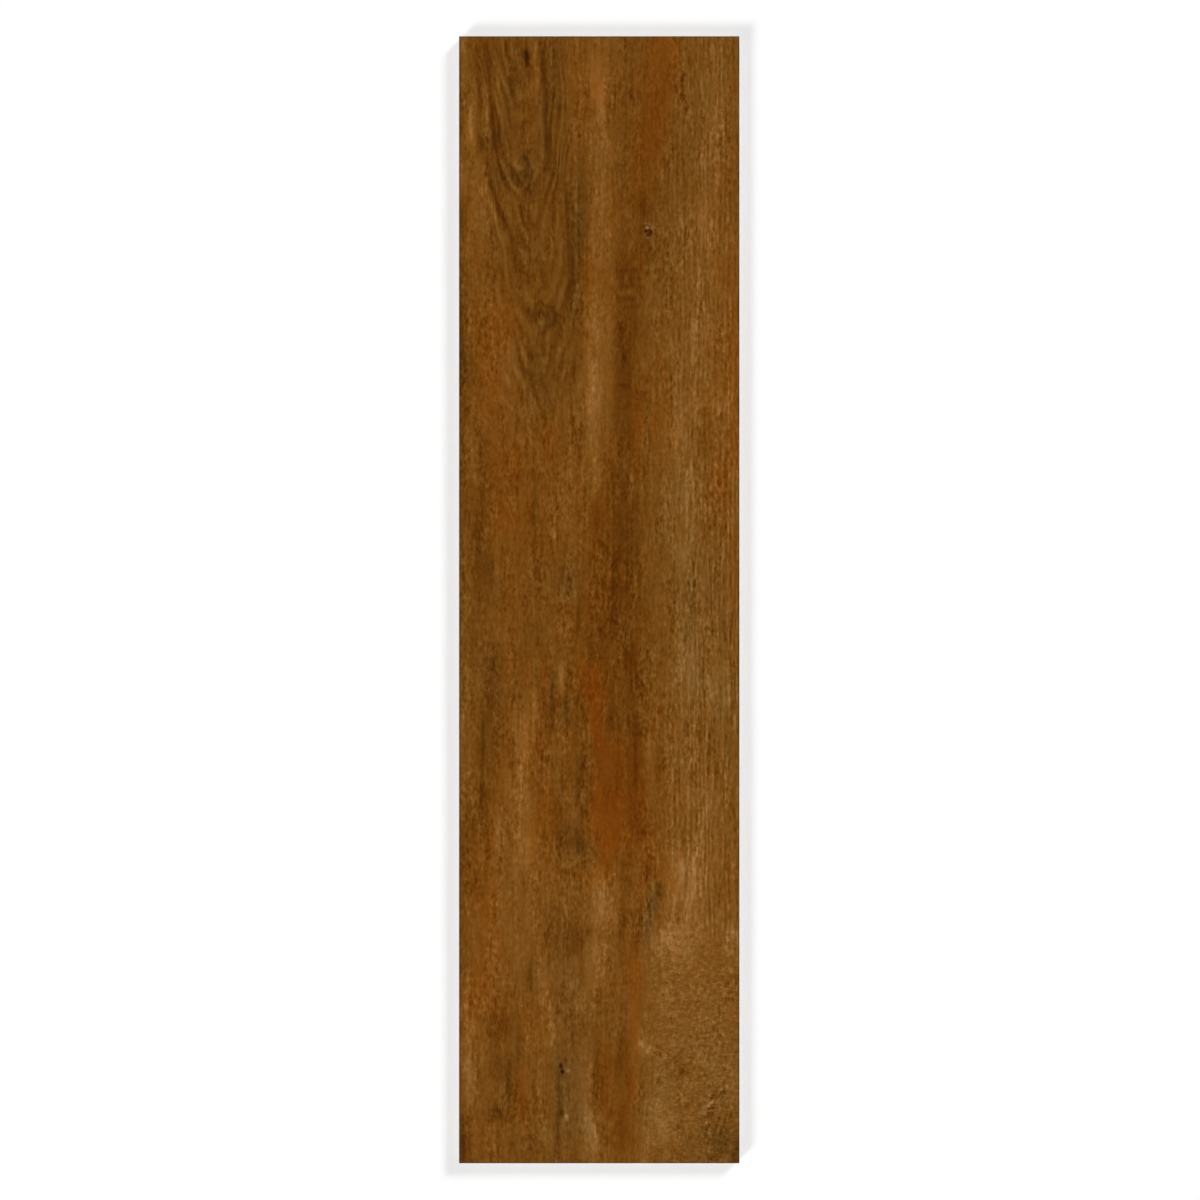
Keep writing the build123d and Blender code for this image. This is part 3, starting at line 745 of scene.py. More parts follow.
# Relief of the face, as shares of its full depth, with the cells of its noise in millimetres
relief = {
    "toneDip": 0.16,  # how much a darker tone step lies lower
    "tone": 0.34,
    "fibre": 0.34,
    "fibreCell": (1.7, 22),
    "ripple": 0.2,
    "rippleCell": (5, 60),
    "rings": 0.12,
    "ringSpacing": 24,
    "seedStep": 20,
}


# How far the face lies below its highest plane, following the print
def faceRelief(across, along, masks):
    x, y = across / mm, along / mm
    seed = press["seed"] + relief["seedStep"]
    sunk = 0.5 - relief["toneDip"] * masks["streakTone"]
    fibre = 0.5 + 0.5 * softNoise(x, y, *relief["fibreCell"], seed)
    ripple = 0.5 + 0.5 * softNoise(x, y, *relief["rippleCell"], seed + 1)
    rings = 0.5 + 0.5 * np.sin(masks["figurePhase"] * 2 * math.pi / relief["ringSpacing"])
    depth = relief["tone"] * sunk + relief["fibre"] * fibre + relief["ripple"] * ripple
    depth = depth + relief["rings"] * rings * masks["figureGrain"]
    toEdge = np.minimum(tileWidth / 2 - np.abs(across), tileLength / 2 - np.abs(along))
    border = smoothStep(toEdge, press["bevel"] + press["bevelSoftening"], press["reliefBorder"])
    return press["reliefDepth"] * np.clip(depth, 0, 1) * border


# Grid of the printed face, with its border as the first of the loops that go down the edge
def faceGrid():
    nx, ny = press["acrossCells"], press["alongCells"]
    halfWidth = tileWidth / 2 - press["bevel"] - press["bevelSoftening"]
    halfLength = tileLength / 2 - press["bevel"] - press["bevelSoftening"]
    across, along = np.meshgrid(
        np.linspace(-halfWidth, halfWidth, nx + 1), np.linspace(-halfLength, halfLength, ny + 1)
    )
    across, along = across.ravel(), along.ravel()
    masks = paintFace(across, along)
    height = tileTop - faceRelief(across, along, masks)
    points = np.stack([across, along, height], -1)
    row = nx + 1
    corner = (np.arange(ny)[:, None] * row + np.arange(nx)[None, :]).ravel()
    quads = np.stack([corner, corner + 1, corner + row + 1, corner + row], -1)
    border = list(range(nx))
    border += [nx + row * j for j in range(ny)]
    border += [row * ny + nx - i for i in range(nx)]
    border += [row * (ny - j) for j in range(ny)]
    return points, quads, border


# Inset from the outline and height of each loop, from the face down to the back
def edgeProfile():
    bevel, arris, hold = press["bevel"], press["backArris"], press["holdingLoop"]
    soft = press["bevelSoftening"]
    slope = soft * press["softShare"]
    profile = [
        (bevel - slope, tileTop - slope),
        (slope, tileTop - bevel + slope),
        (0.0, tileTop - bevel - soft),
        (0.0, tileTop - bevel - soft - hold),
        (0.0, arris + hold),
    ]
    steps = press["arrisSteps"]
    for step in range(steps + 1):
        turn = math.radians(90 * step / steps)
        profile.append((arris * (1 - math.cos(turn)), arris * (1 - math.sin(turn))))
    return profile


# Outline of one pocket at a given inset from its mouth, with its corners cut at 45 degrees
def pocketRing(centre, halfAcross, halfAlong, inset, height):
    w, l = halfAcross - inset, halfAlong - inset
    cut = press["pocketCorner"] - inset * (2 - math.sqrt(2))
    ring = [(w, -l + cut), (w, l - cut), (w - cut, l), (-w + cut, l)]
    ring += [(-w, l - cut), (-w, -l + cut), (-w + cut, -l), (w - cut, -l)]
    return [(centre[0] + x, centre[1] + y, height) for x, y in ring]


# Rings of one pocket from the rib top, over the softened mouth, down the drafted wall to its floor
def pocketRings(centre, halfAcross, halfAlong):
    soft, hold, depth = press["pocketSoftening"], press["holdingLoop"], press["pocketDepth"]
    draft = math.tan(math.radians(press["pocketDraft"]))
    steps = [
        (-soft - hold, 0.0),
        (-soft, 0.0),
        (soft * draft, soft),
        ((depth - soft) * draft, depth - soft),
        (depth * draft + soft, depth),
        (depth * draft + soft + hold, depth),
    ]
    return [pocketRing(centre, halfAcross, halfAlong, inset, height) for inset, height in steps]


glazed, ground, pressed = range(3)  # the finishes, in the order of the material slots


# One welded skin: the printed face, the ground edge, and the pressed back with its pockets
def tileSkin():
    bevelLoops, pocketCorners = 3, 8
    points, quads, border = faceGrid()
    faces = quads.tolist()
    finish = [glazed] * len(faces)
    outline = points[border]
    halfWidth, halfLength = np.abs(outline[:, 0]).max(), np.abs(outline[:, 1]).max()
    above = list(border)
    # shade marks where the painted shade of the bevel goes: 1 on the loops down the edge, 0 on the face and
    # the pockets
    stack, total, shade = [points], len(points), [np.zeros(len(points))]
    for step, (inset, height) in enumerate(edgeProfile()):
        loop = np.empty_like(outline)
        loop[:, 0] = outline[:, 0] * (tileWidth / 2 - inset) / halfWidth
        loop[:, 1] = outline[:, 1] * (tileLength / 2 - inset) / halfLength
        loop[:, 2] = height
        stack.append(loop)
        shade.append(np.ones(len(loop)))
        below = list(range(total, total + len(loop)))
        total += len(loop)
        for i in range(len(below)):
            j = (i + 1) % len(below)
            faces.append([above[i], below[i], below[j], above[j]])
        finish += [glazed if step < bevelLoops else ground] * len(below)
        above = below
    # the flat of the ribs and rim, triangulated round the pockets
    rim, rib = press["rim"], press["rib"]
    acrossCount, alongCount = press["pocketsAcross"], press["pocketsAlong"]
    pocketWidth = (tileWidth - 2 * rim - (acrossCount - 1) * rib) / acrossCount
    pocketLength = (tileLength - 2 * rim - (alongCount - 1) * rib) / alongCount
    flat = [Vector(stack[-1][i][:2]) for i in range(len(above))]
    index = list(above)
    edges = [(i, (i + 1) % len(above)) for i in range(len(above))]
    for i in range(acrossCount):
        for j in range(alongCount):
            centre = (
                (i - (acrossCount - 1) / 2) * (pocketWidth + rib),
                (j - (alongCount - 1) / 2) * (pocketLength + rib),
            )
            rings = pocketRings(centre, pocketWidth / 2, pocketLength / 2)
            first = total
            for ring in rings:
                stack.append(np.array(ring))
                shade.append(np.zeros(len(ring)))
                total += len(ring)
            for k in range(len(rings) - 1):
                outer = first + pocketCorners * k
                inner = outer + pocketCorners
                for a in range(pocketCorners):
                    b = (a + 1) % pocketCorners
                    faces.append([outer + a, inner + a, inner + b, outer + b])
            floorStart = first + pocketCorners * (len(rings) - 1)
            faces.append([floorStart + a for a in reversed(range(pocketCorners))])
            base = len(flat)
            flat += [Vector(corner[:2]) for corner in rings[0]]
            index += range(first, first + pocketCorners)
            edges += [(base + a, base + (a + 1) % pocketCorners) for a in range(pocketCorners)]
    insideOnly = 1  # the fill keeps within the outline
    filled = geometry.delaunay_2d_cdt(flat, edges, [], insideOnly, press["weldDistance"])
    triangles, origins = filled[2], filled[3]
    place = [original[0] for original in origins]
    ringStart = len(above)
    for triangle in triangles:
        owners = {(place[corner] - ringStart) // pocketCorners for corner in triangle}
        inPocket = len(owners) == 1 and min(place[corner] for corner in triangle) >= ringStart
        if not inPocket:
            faces.append([index[place[corner]] for corner in reversed(triangle)])
    finish += [pressed] * (len(faces) - len(finish))
    return np.concatenate(stack), faces, finish, np.concatenate(shade)


# Where each part of the skin lies on the square sheet that its colours can be baked to
bakeSheet = {
    "face": (0.005, 0.695, 0.005, 0.960),  # start and size across, start and size along
    "back": (0.995, -0.245, 0.005, 0.990),  # seen from below, so it runs the other way across
    "endStrips": (0.985, 0.970, 0.010),  # far end, near end, and their height
    "sideStrips": (0.728, 0.710, 0.012),  # right side, left side, and their width
}


# Flat layout of the skin: face and bevel, four edge strips, then the back
def bakeLayout(mesh, finish):
    corners = np.empty(len(mesh.loops), dtype=np.int32)
    mesh.loops.foreach_get("vertex_index", corners)
    spots = np.empty(len(mesh.vertices) * 3)
    mesh.vertices.foreach_get("co", spots)
    spots = spots.reshape(-1, 3)[corners]
    perFace = np.empty(len(mesh.polygons), dtype=np.int32)
    mesh.polygons.foreach_get("loop_total", perFace)
    normals = np.empty(len(mesh.polygons) * 3)
    mesh.polygons.foreach_get("normal", normals)
    normals = np.repeat(normals.reshape(-1, 3), perFace, axis=0)
    part = np.repeat(np.array(finish), perFace)
    s = spots[:, 0] / tileWidth + 0.5
    t = spots[:, 1] / tileLength + 0.5
    up = np.clip(spots[:, 2] / tileTop, 0, 1)
    left, across, foot, along = bakeSheet["face"]
    u, v = left + across * s, foot + along * t
    back, edge = part == pressed, part == ground
    left, across, foot, along = bakeSheet["back"]
    u[back], v[back] = (left + across * s)[back], (foot + along * t)[back]
    ends = edge & (np.abs(normals[:, 1]) > np.abs(normals[:, 0]))
    farEnd, nearEnd, height = bakeSheet["endStrips"]
    v[ends] = (np.where(normals[:, 1] > 0, farEnd, nearEnd) + height * up)[ends]
    sides = edge & ~ends
    rightSide, leftSide, width = bakeSheet["sideStrips"]
    u[sides] = (np.where(normals[:, 0] > 0, rightSide, leftSide) + width * up)[sides]
    v[sides] = (foot + along * t)[sides]
    layer = mesh.uv_layers.new(name="OFBake")
    layer.data.foreach_set("uv", np.stack([u, v], -1).ravel().astype(np.float32))


def buildTile():
    points, faces, finish, shade = tileSkin()
    mesh = bpy.data.meshes.new("woodLookTile")
    mesh.from_pydata(points.tolist(), [], faces)
    mesh.polygons.foreach_set("material_index", finish)
    mesh.shade_smooth()
    mesh.set_sharp_from_angle(angle=math.radians(press["sharpAngle"]))
    bakeLayout(mesh, finish)
    masks = paintFace(points[:, 0], points[:, 1])
    # the painted shade of the bevel, kept as its own mask
    masks["edgeShade"] = shade
    for name, values in masks.items():
        layer = mesh.attributes.new(name, "FLOAT", "POINT")
        layer.data.foreach_set("value", values.astype(np.float32))
    tile = bpy.data.objects.new("woodLookTile", mesh)
    bpy.context.scene.collection.objects.link(tile)
    triangles = sum(len(face) - 2 for face in faces)
    print("tile skin:", len(points), "points,", triangles, "triangles")
    return tile


# A socket takes either a link or a plain value
def feed(tree, socket, value):
    if isinstance(value, bpy.types.NodeSocket):
        tree.links.new(value, socket)
    else:
        socket.default_value = value


def calc(tree, operation, *values, clamp=False):
    node = tree.nodes.new("ShaderNodeMath")
    node.operation = operation
    node.use_clamp = clamp
    for socket, value in zip(node.inputs, values):
        feed(tree, socket, value)
    return node.outputs[0]


def addUp(tree, terms):
    total = terms[0]
    for term in terms[1:]:
        total = calc(tree, "ADD", total, term)
    return total


def ramp(tree, value, low, high, toLow=0.0, toHigh=1.0, smooth=True):
    node = tree.nodes.new("ShaderNodeMapRange")
    node.interpolation_type = "SMOOTHSTEP" if smooth else "LINEAR"
    for name, number in (("From Min", low), ("From Max", high), ("To Min", toLow), ("To Max", toHigh)):
        feed(tree, node.inputs[name], number)
    feed(tree, node.inputs["Value"], value)
    return node.outputs["Result"]


def newGroup(name, inputs, outputs):
    tree = bpy.data.node_groups.new(name, "ShaderNodeTree")
    kinds = {"value": "NodeSocketFloat", "vector": "NodeSocketVector"}
    for socketName, kind in inputs:
        tree.interface.new_socket(name=socketName, in_out="INPUT", socket_type=kinds[kind])
    for socketName, kind in outputs:
        tree.interface.new_socket(name=socketName, in_out="OUTPUT", socket_type=kinds[kind])
    return tree, tree.nodes.new("NodeGroupInput").outputs, tree.nodes.new("NodeGroupOutput").inputs


def useGroup(tree, group, **values):
    node = tree.nodes.new("ShaderNodeGroup")
    node.node_tree = group
    for socket in node.inputs:
        key = socket.name[0].lower() + socket.name[1:].replace(" ", "")
        if key in values:
            feed(tree, socket, values[key])
    return node.outputs


def split(tree, vector):
    node = tree.nodes.new("ShaderNodeSeparateXYZ")
    feed(tree, node.inputs[0], vector)
    return node.outputs


def join(tree, x, y, z=0.0):
    node = tree.nodes.new("ShaderNodeCombineXYZ")
    for socket, value in zip(node.inputs, (x, y, z)):
        feed(tree, socket, value)
    return node.outputs[0]


def noise(tree, vector, detail=0.0, roughness=0.5):
    node = tree.nodes.new("ShaderNodeTexNoise")
    node.inputs["Scale"].default_value = 1.0
    node.inputs["Detail"].default_value = detail
    node.inputs["Roughness"].default_value = roughness
    feed(tree, node.inputs["Vector"], vector)
    return node.outputs["Fac"]


def millimetres(tree):
    spot = tree.nodes.new("ShaderNodeTexCoord").outputs["Object"]
    node = tree.nodes.new("ShaderNodeVectorMath")
    node.operation = "SCALE"
    node.inputs["Scale"].default_value = 1 / mm
    feed(tree, node.inputs[0], spot)
    return node.outputs[0]


def painted(tree, name):
    node = tree.nodes.new("ShaderNodeAttribute")
    node.attribute_name = name
    return node.outputs["Fac"]


# Noise drawn out along the plank, about -2 to 2, that wanders sideways as grain does
def makeGrainGroup():
    driftAcross, driftAlong, contrast = 9.0, 30.0, 8.0  # cells of the sideways wander are in millimetres
    tree, given, result = newGroup(
        "drawnGrain",
        [("Place", "vector"), ("Across", "value"), ("Along", "value"), ("Wander", "value"),
         ("Lean", "value"), ("Seed", "value")],
        [("Grain", "value")],
    )
    x, y, z = split(tree, given["Place"])
    cell = [calc(tree, "DIVIDE", side, size) for side, size in ((x, driftAcross), (y, driftAlong))]
    drift = noise(tree, join(tree, *cell, given["Seed"]))
    drift = calc(tree, "MULTIPLY", calc(tree, "SUBTRACT", drift, 0.5), given["Wander"])
    moved = calc(tree, "ADD", x, drift)
    lattice = join(
        tree,
        calc(tree, "DIVIDE", moved, given["Across"]),
        calc(tree, "DIVIDE", y, given["Along"]),
        calc(tree, "ADD", calc(tree, "DIVIDE", z, given["Across"]), given["Seed"]),
    )
    grain = noise(tree, lattice, 1.0, 0.5)
    grain = calc(tree, "MULTIPLY", calc(tree, "SUBTRACT", grain, 0.5), contrast)
    bent = calc(tree, "MULTIPLY", calc(tree, "MULTIPLY", grain, grain), given["Lean"])
    feed(tree, result["Grain"], calc(tree, "ADD", grain, bent))
    return tree


# Lines of growth, -1 to 1, broken into dashes
def makeGrowthGroup():
    dashFrom, dashTo, dashSeed = 0.34, 0.66, 7.3  # noise levels where a dash starts and is full
    tree, given, result = newGroup(
        "growthLines",
        [("Place", "vector"), ("Phase", "value"), ("Period", "value"), ("Wander", "value"),
         ("Drift Across", "value"), ("Drift Along", "value"),
         ("Dash Across", "value"), ("Dash Along", "value"), ("Seed", "value")],
        [("Lines", "value")],
    )
    x, y = split(tree, given["Place"])[:2]

    def cellNoise(kind, seed, detail=0.0):
        u = calc(tree, "DIVIDE", x, given[kind + " Across"])
        v = calc(tree, "DIVIDE", y, given[kind + " Along"])
        return noise(tree, join(tree, u, v, seed), detail)

    drift = cellNoise("Drift", given["Seed"], 1.0)
    drift = calc(tree, "MULTIPLY", calc(tree, "SUBTRACT", drift, 0.5), given["Wander"])
    turn = calc(tree, "DIVIDE", calc(tree, "ADD", given["Phase"], drift), given["Period"])
    wave = calc(tree, "SINE", calc(tree, "MULTIPLY", turn, 2 * math.pi))
    dash = cellNoise("Dash", calc(tree, "ADD", given["Seed"], dashSeed))
    feed(tree, result["Lines"], calc(tree, "MULTIPLY", wave, ramp(tree, dash, dashFrom, dashTo)))
    return tree


# A leaning oval mark, 1 inside and 0 outside
def makeMarkGroup():
    tree, given, result = newGroup(
        "ovalMark",
        [("Place", "vector"), ("Centre", "vector"), ("Half Size", "vector"), ("Lean", "value"),
         ("Feather", "value")],
        [("Mask", "value")],
    )
    x, y = split(tree, given["Place"])[:2]
    centreX, centreY = split(tree, given["Centre"])[:2]
    halfX, halfY = split(tree, given["Half Size"])[:2]
    along = calc(tree, "SUBTRACT", y, centreY)
    across = calc(tree, "SUBTRACT", x, centreX)
    across = calc(tree, "SUBTRACT", across, calc(tree, "MULTIPLY", along, given["Lean"]))
    u = calc(tree, "DIVIDE", across, halfX)
    v = calc(tree, "DIVIDE", along, halfY)
    squares = [calc(tree, "MULTIPLY", side, side) for side in (u, v)]
    reach = calc(tree, "SQRT", calc(tree, "ADD", *squares))
    inner = calc(tree, "SUBTRACT", 1.0, given["Feather"])
    outer = calc(tree, "ADD", 1.0, given["Feather"])
    feed(tree, result["Mask"], ramp(tree, reach, outer, inner))
    return tree


# Small grains of the fired clay: a mask of specks, and the soft mottle between them
def makeClayGroup():
    speckFrom, speckTo, mottleScale = 0.60, 0.74, 0.08
    tree, given, result = newGroup(
        "claySpeckle",
        [("Place", "vector"), ("Cell", "value"), ("Seed", "value")],
        [("Specks", "value"), ("Mottle", "value")],
    )
    x, y, z = split(tree, given["Place"])
    sides = [calc(tree, "DIVIDE", side, given["Cell"]) for side in (x, y, z)]
    fine = join(tree, sides[0], sides[1], calc(tree, "ADD", sides[2], given["Seed"]))
    feed(tree, result["Specks"], ramp(tree, noise(tree, fine, 2.0, 0.7), speckFrom, speckTo))
    wide = tree.nodes.new("ShaderNodeVectorMath")
    wide.operation = "SCALE"
    wide.inputs["Scale"].default_value = mottleScale
    feed(tree, wide.inputs[0], fine)
    feed(tree, result["Mottle"], noise(tree, wide.outputs[0], 4.0, 0.6))
    return tree


grainGroup = makeGrainGroup()
growthGroup = makeGrowthGroup()
markGroup = makeMarkGroup()
clayGroup = makeClayGroup()
print("grain, growth, mark and clay groups are ready")


def newMaterial(name):
    material = bpy.data.materials.new(name)
    material.use_nodes = True
    tree = material.node_tree
    for node in list(tree.nodes):
        tree.nodes.remove(node)
    shader = tree.nodes.new("ShaderNodeBsdfPrincipled")
    tree.links.new(shader.outputs[0], tree.nodes.new("ShaderNodeOutputMaterial").inputs["Surface"])
    return material, tree, shader.inputs


# sRGB levels, 0 to 255, as a linear colour
def shadeOf(red, green, blue):
    levels = [level / 255 for level in (red, green, blue)]
    return [c / 12.92 if c <= 0.04045 else ((c + 0.055) / 1.055) ** 2.4 for c in levels] + [1.0]


# Shades at their places from 0 to 1, each taken down by the allowance
def colourRamp(tree, value, stops, allowance):
    darkest = 0.0002
    node = tree.nodes.new("ShaderNodeValToRGB")
    feed(tree, node.inputs[0], value)
    elements = node.color_ramp.elements
    while len(elements) < len(stops):
        elements.new(0.5)
    for i, (position, colour) in enumerate(stops):
        elements[i].position = position
        elements[i].color = [max(darkest, c - allowance) for c in shadeOf(*colour)[:3]] + [1.0]
    return node.outputs[0]


def blend(tree, factor, first, second):
    node = tree.nodes.new("ShaderNodeMix")
    node.data_type = "RGBA"
    feed(tree, node.inputs[0], factor)
    feed(tree, node.inputs[6], first)
    feed(tree, node.inputs[7], second)
    return node.outputs[2]


def bump(tree, height, strength, distance):
    node = tree.nodes.new("ShaderNodeBump")
    node.inputs["Strength"].default_value = strength
    node.inputs["Distance"].default_value = distance
    feed(tree, node.inputs["Height"], height)
    return node.outputs[0]


# Small crisp flecks of the print: across, along, half width, half length, lean, strength and shade
woodFlecks = {
    "pinKnot": [
        (26.0, 196.4, 1.6, 0.6, 0, 0.7, (66, 32, 0)), (24.9, 198.8, 1.2, 0.4, 0, 0.6, (78, 50, 10)),
        (24.6, 199.9, 1.0, 0.5, 0, 0.7, (122, 86, 44)), (26.8, 199.6, 1.0, 0.6, 0, 0.7, (128, 88, 46)),
        (25.5, 197.7, 0.9, 0.8, 0, 0.9, (144, 104, 60)), (28.4, 197.8, 1.2, 1.0, 0, 0.6, (136, 92, 52)),
        (27.3, 195.2, 1.1, 1.2, 0, 0.95, (56, 20, 0)), (26.4, 193.9, 1.3, 0.8, 0, 0.9, (60, 32, 4)),
        (24.6, 195.8, 0.9, 0.8, 0, 0.95, (50, 12, 0)), (25.8, 192.1, 1.2, 0.8, 0, 0.6, (104, 84, 50)),
        (25.0, 189.7, 0.8, 1.7, -0.4, 0.6, (92, 52, 0)),
    ],
    "bottomCrack": [
        (-20.4, -247.7, 1.0, 1.4, 0, 0.9, (46, 20, 0)), (-19.6, -250.7, 1.1, 1.2, 0, 0.95, (38, 10, 0)),
        (-17.8, -247.0, 0.6, 1.7, 0, 0.6, (76, 56, 8)), (-16.3, -250.2, 1.0, 1.0, 0, 0.7, (144, 106, 60)),
        (-17.8, -244.3, 0.9, 1.3, 0, 0.6, (82, 46, 2)), (-14.4, -244.7, 0.6, 1.7, 0, 0.6, (86, 48, 0)),
    ],
    "cornerStrokes": [
        (63.6, -263.7, 0.45, 2.3, 0.8, 0.7, (76, 44, 2)),
        (64.6, -264.3, 0.45, 2.2, 0.8, 0.5, (146, 108, 58)),
        (65.6, -263.2, 0.4, 1.8, 0.8, 0.6, (82, 46, 4)), (66.4, -261.6, 0.6, 0.7, 0, 0.8, (66, 30, 0)),
        (66.6, -264.8, 0.4, 1.6, 0.9, 0.5, (148, 110, 60)), (58.0, -270.3, 0.9, 0.5, 0, 0.8, (70, 34, 0)),
        (60.8, -270.0, 1.0, 0.6, 0, 0.8, (70, 34, 0)), (59.4, -271.4, 1.5, 0.4, 0, 0.5, (140, 102, 54)),
        (59.3, -272.7, 1.7, 0.45, 0, 0.6, (80, 46, 6)), (57.0, -275.0, 2.0, 0.5, 0, 0.5, (88, 52, 10)),
        (55.0, -280.0, 0.45, 2.6, 0.05, 0.5, (84, 46, 2)),
        (61.0, -276.3, 0.45, 3.6, 0.33, 0.5, (82, 50, 10)),
        (56.4, -271.8, 0.45, 2.4, 0.25, 0.5, (146, 108, 60)),
        (58.4, -281.5, 0.45, 1.6, 0.3, 0.4, (142, 104, 58)),
    ],
}

# The printed and glazed face. Shades are sRGB levels from the darkest tone step to the palest.
glaze = {
    "toneLow": -7.5,
    "toneHigh": 6.0,
    "russetReach": 8.0,
    "brown": [
        (50, 27, 2), (65, 34, 0), (80, 42, 1), (94, 52, 6), (105, 62, 13),
        (116, 72, 21), (126, 82, 30), (137, 92, 42), (148, 103, 52), (160, 116, 65),
    ],
    "russet": [
        (58, 25, 0), (74, 33, 0), (90, 41, 0), (102, 49, 0), (113, 57, 2),
        (124, 67, 9), (134, 77, 20), (145, 88, 32), (156, 99, 43), (168, 112, 56),
    ],
    "olive": [
        (42, 29, 10), (56, 36, 8), (70, 45, 9), (85, 55, 15), (97, 64, 22),
        (108, 74, 30), (118, 84, 39), (129, 95, 50), (140, 106, 60), (153, 119, 74),
    ],
    "toneShift": -0.47,
    "hueShift": -0.5,
    "fibre": 0.5,
    "weave": 0.55,
    "grit": 1.08,
    "longFibre": 0.35,
    "pores": 0.5,
    "poreLean": 0.01,  # above zero the pale side of the grain is the stronger, below it the dark side
    "lively": (0.57, 1.28),  # how weak and how strong the fibre gets from place to place
    "livelyReach": 1.3,  # grain level at which it is weakest or strongest
    "calmLoss": 0.45,  # what the calmest places take off it
    "crossLoss": 0.85,  # what the cross grain takes off the straight grain
    "huePatch": 0.9,
    "bandLines": 1.85,
    "flameLines": 1.4,
    "crossSpeckle": 0.97,
    # painted shade: a tone step that darkens the glazed bevel as if it lay in shadow
    "bevelTone": -4.6,
    # cells of the grains, in millimetres: across, along, sideways wander, and the seed
    "grains": {
        "fibre": (1.4, 20.0, 1.2, 3.0),
        "grit": (1.4, 2.5, 0.6, 9.0),
        "weave": (1.6, 7.0, 1.4, 13.0),
        "longFibre": (2.6, 60.0, 4.0, 17.0),
        "pores": (0.34, 4.5, 0.6, 51.0),
        "speckle": (2.4, 1.4, 0.0, 23.0),
        "lively": (7.0, 32.0, 6.0, 41.0),
        "huePatch": (4.0, 24.0, 3.0, 31.0),
    },
    "bandPattern": {
        "period": 2.7, "wander": 7.0, "driftAcross": 9.0, "driftAlong": 45.0,
        "dashAcross": 2.6, "dashAlong": 5.0, "seed": 2.0,
    },
    "flamePattern": {
        "period": 20.0, "wander": 11.0, "driftAcross": 8.0, "driftAlong": 20.0,
        "dashAcross": 4.0, "dashAlong": 18.0, "seed": 5.0,
    },
    "fleckFeather": 0.45,  # how soft the sides of the small flecks are
    "sheenAllowance": 0.002,  # taken off each shade, as the sheen adds about this much back
    "wear": {"fibre": 0.4, "grit": 0.35, "pores": 0.45},  # shares in the fine unevenness of the glaze
    "wearReach": 1.6,
    "roughness": (0.28, 0.38),
    "specular": 0.2,
    "bump": 0.35,
    "bumpHeight": 0.03 * mm,
}


def makeGlaze():
    material, tree, shader = newMaterial("printedGlaze")
    place = millimetres(tree)
    x = split(tree, place)[0]

    def grain(name, lean=0.0):
        across, along, wander, seed = glaze["grains"][name]
        values = {"across": across, "along": along, "wander": wander, "seed": seed, "lean": lean}
        return useGroup(tree, grainGroup, place=place, **values)["Grain"]

    def scaled(value, amount):
        return calc(tree, "MULTIPLY", value, amount)

    fibre, grit, weave = (grain(name, glaze["poreLean"]) for name in ("fibre", "grit", "weave"))
    longFibre = grain("longFibre")
    pores = grain("pores", glaze["poreLean"])
    band, cross, figure = (painted(tree, name) for name in ("bandGrain", "crossGrain", "figureGrain"))
    bandLines = useGroup(tree, growthGroup, place=place, phase=x, **glaze["bandPattern"])
    phase = painted(tree, "figurePhase")
    flameLines = useGroup(tree, growthGroup, place=place, phase=phase, **glaze["flamePattern"])
    speckle = grain("speckle")
    straight = calc(tree, "SUBTRACT", 1.0, scaled(cross, glaze["crossLoss"]))
    lively = ramp(tree, grain("lively"), -glaze["livelyReach"], glaze["livelyReach"], *glaze["lively"])
    calm = scaled(painted(tree, "smoothGrain"), glaze["calmLoss"])
    lively = scaled(lively, calc(tree, "SUBTRACT", 1.0, calm))
    straight = calc(tree, "MULTIPLY", straight, lively)
    tone = addUp(tree, [
        painted(tree, "streakTone"),
        scaled(scaled(fibre, glaze["fibre"]), straight),
        scaled(scaled(weave, glaze["weave"]), straight),
        scaled(scaled(grit, glaze["grit"]), lively),
        scaled(scaled(longFibre, glaze["longFibre"]), straight),
        scaled(scaled(pores, glaze["pores"]), straight),
        scaled(scaled(bandLines["Lines"], band), glaze["bandLines"]),
        scaled(scaled(flameLines["Lines"], figure), glaze["flameLines"]),
        scaled(scaled(speckle, cross), glaze["crossSpeckle"]),
        # painted shade on the bevel
        scaled(painted(tree, "edgeShade"), glaze["bevelTone"]),
        glaze["toneShift"],
    ])
    hue = addUp(tree, [
        painted(tree, "streakRusset"),
        scaled(grain("huePatch"), glaze["huePatch"]),
        glaze["hueShift"],
    ])

    def woodRamp(shades):
        position = ramp(tree, tone, glaze["toneLow"], glaze["toneHigh"], smooth=False)
        stops = [(i / (len(shades) - 1), shade) for i, shade in enumerate(shades)]
        return colourRamp(tree, position, stops, glaze["sheenAllowance"])

    towardRusset = calc(tree, "DIVIDE", hue, glaze["russetReach"], clamp=True)
    colour = blend(tree, towardRusset, woodRamp(glaze["brown"]), woodRamp(glaze["russet"]))
    towardOlive = calc(tree, "DIVIDE", hue, -glaze["russetReach"], clamp=True)
    colour = blend(tree, towardOlive, colour, woodRamp(glaze["olive"]))
    for flecks in woodFlecks.values():
        for atAcross, atAlong, halfWidth, halfLength, lean, strength, shade in flecks:
            mask = useGroup(
                tree, markGroup, place=place, centre=(atAcross, atAlong, 0.0),
                halfSize=(halfWidth, halfLength, 1.0), lean=lean, feather=glaze["fleckFeather"],
            )["Mask"]
            colour = blend(tree, scaled(mask, strength), colour, shadeOf(*shade))
    feed(tree, shader["Base Color"], colour)
    shares = [(fibre, "fibre"), (grit, "grit"), (pores, "pores")]
    wear = addUp(tree, [scaled(value, glaze["wear"][name]) for value, name in shares])
    rough = ramp(tree, wear, -glaze["wearReach"], glaze["wearReach"], *glaze["roughness"])
    feed(tree, shader["Roughness"], rough)
    shader["Specular IOR Level"].default_value = glaze["specular"]
    feed(tree, shader["Normal"], bump(tree, wear, glaze["bump"], glaze["bumpHeight"]))
    return material


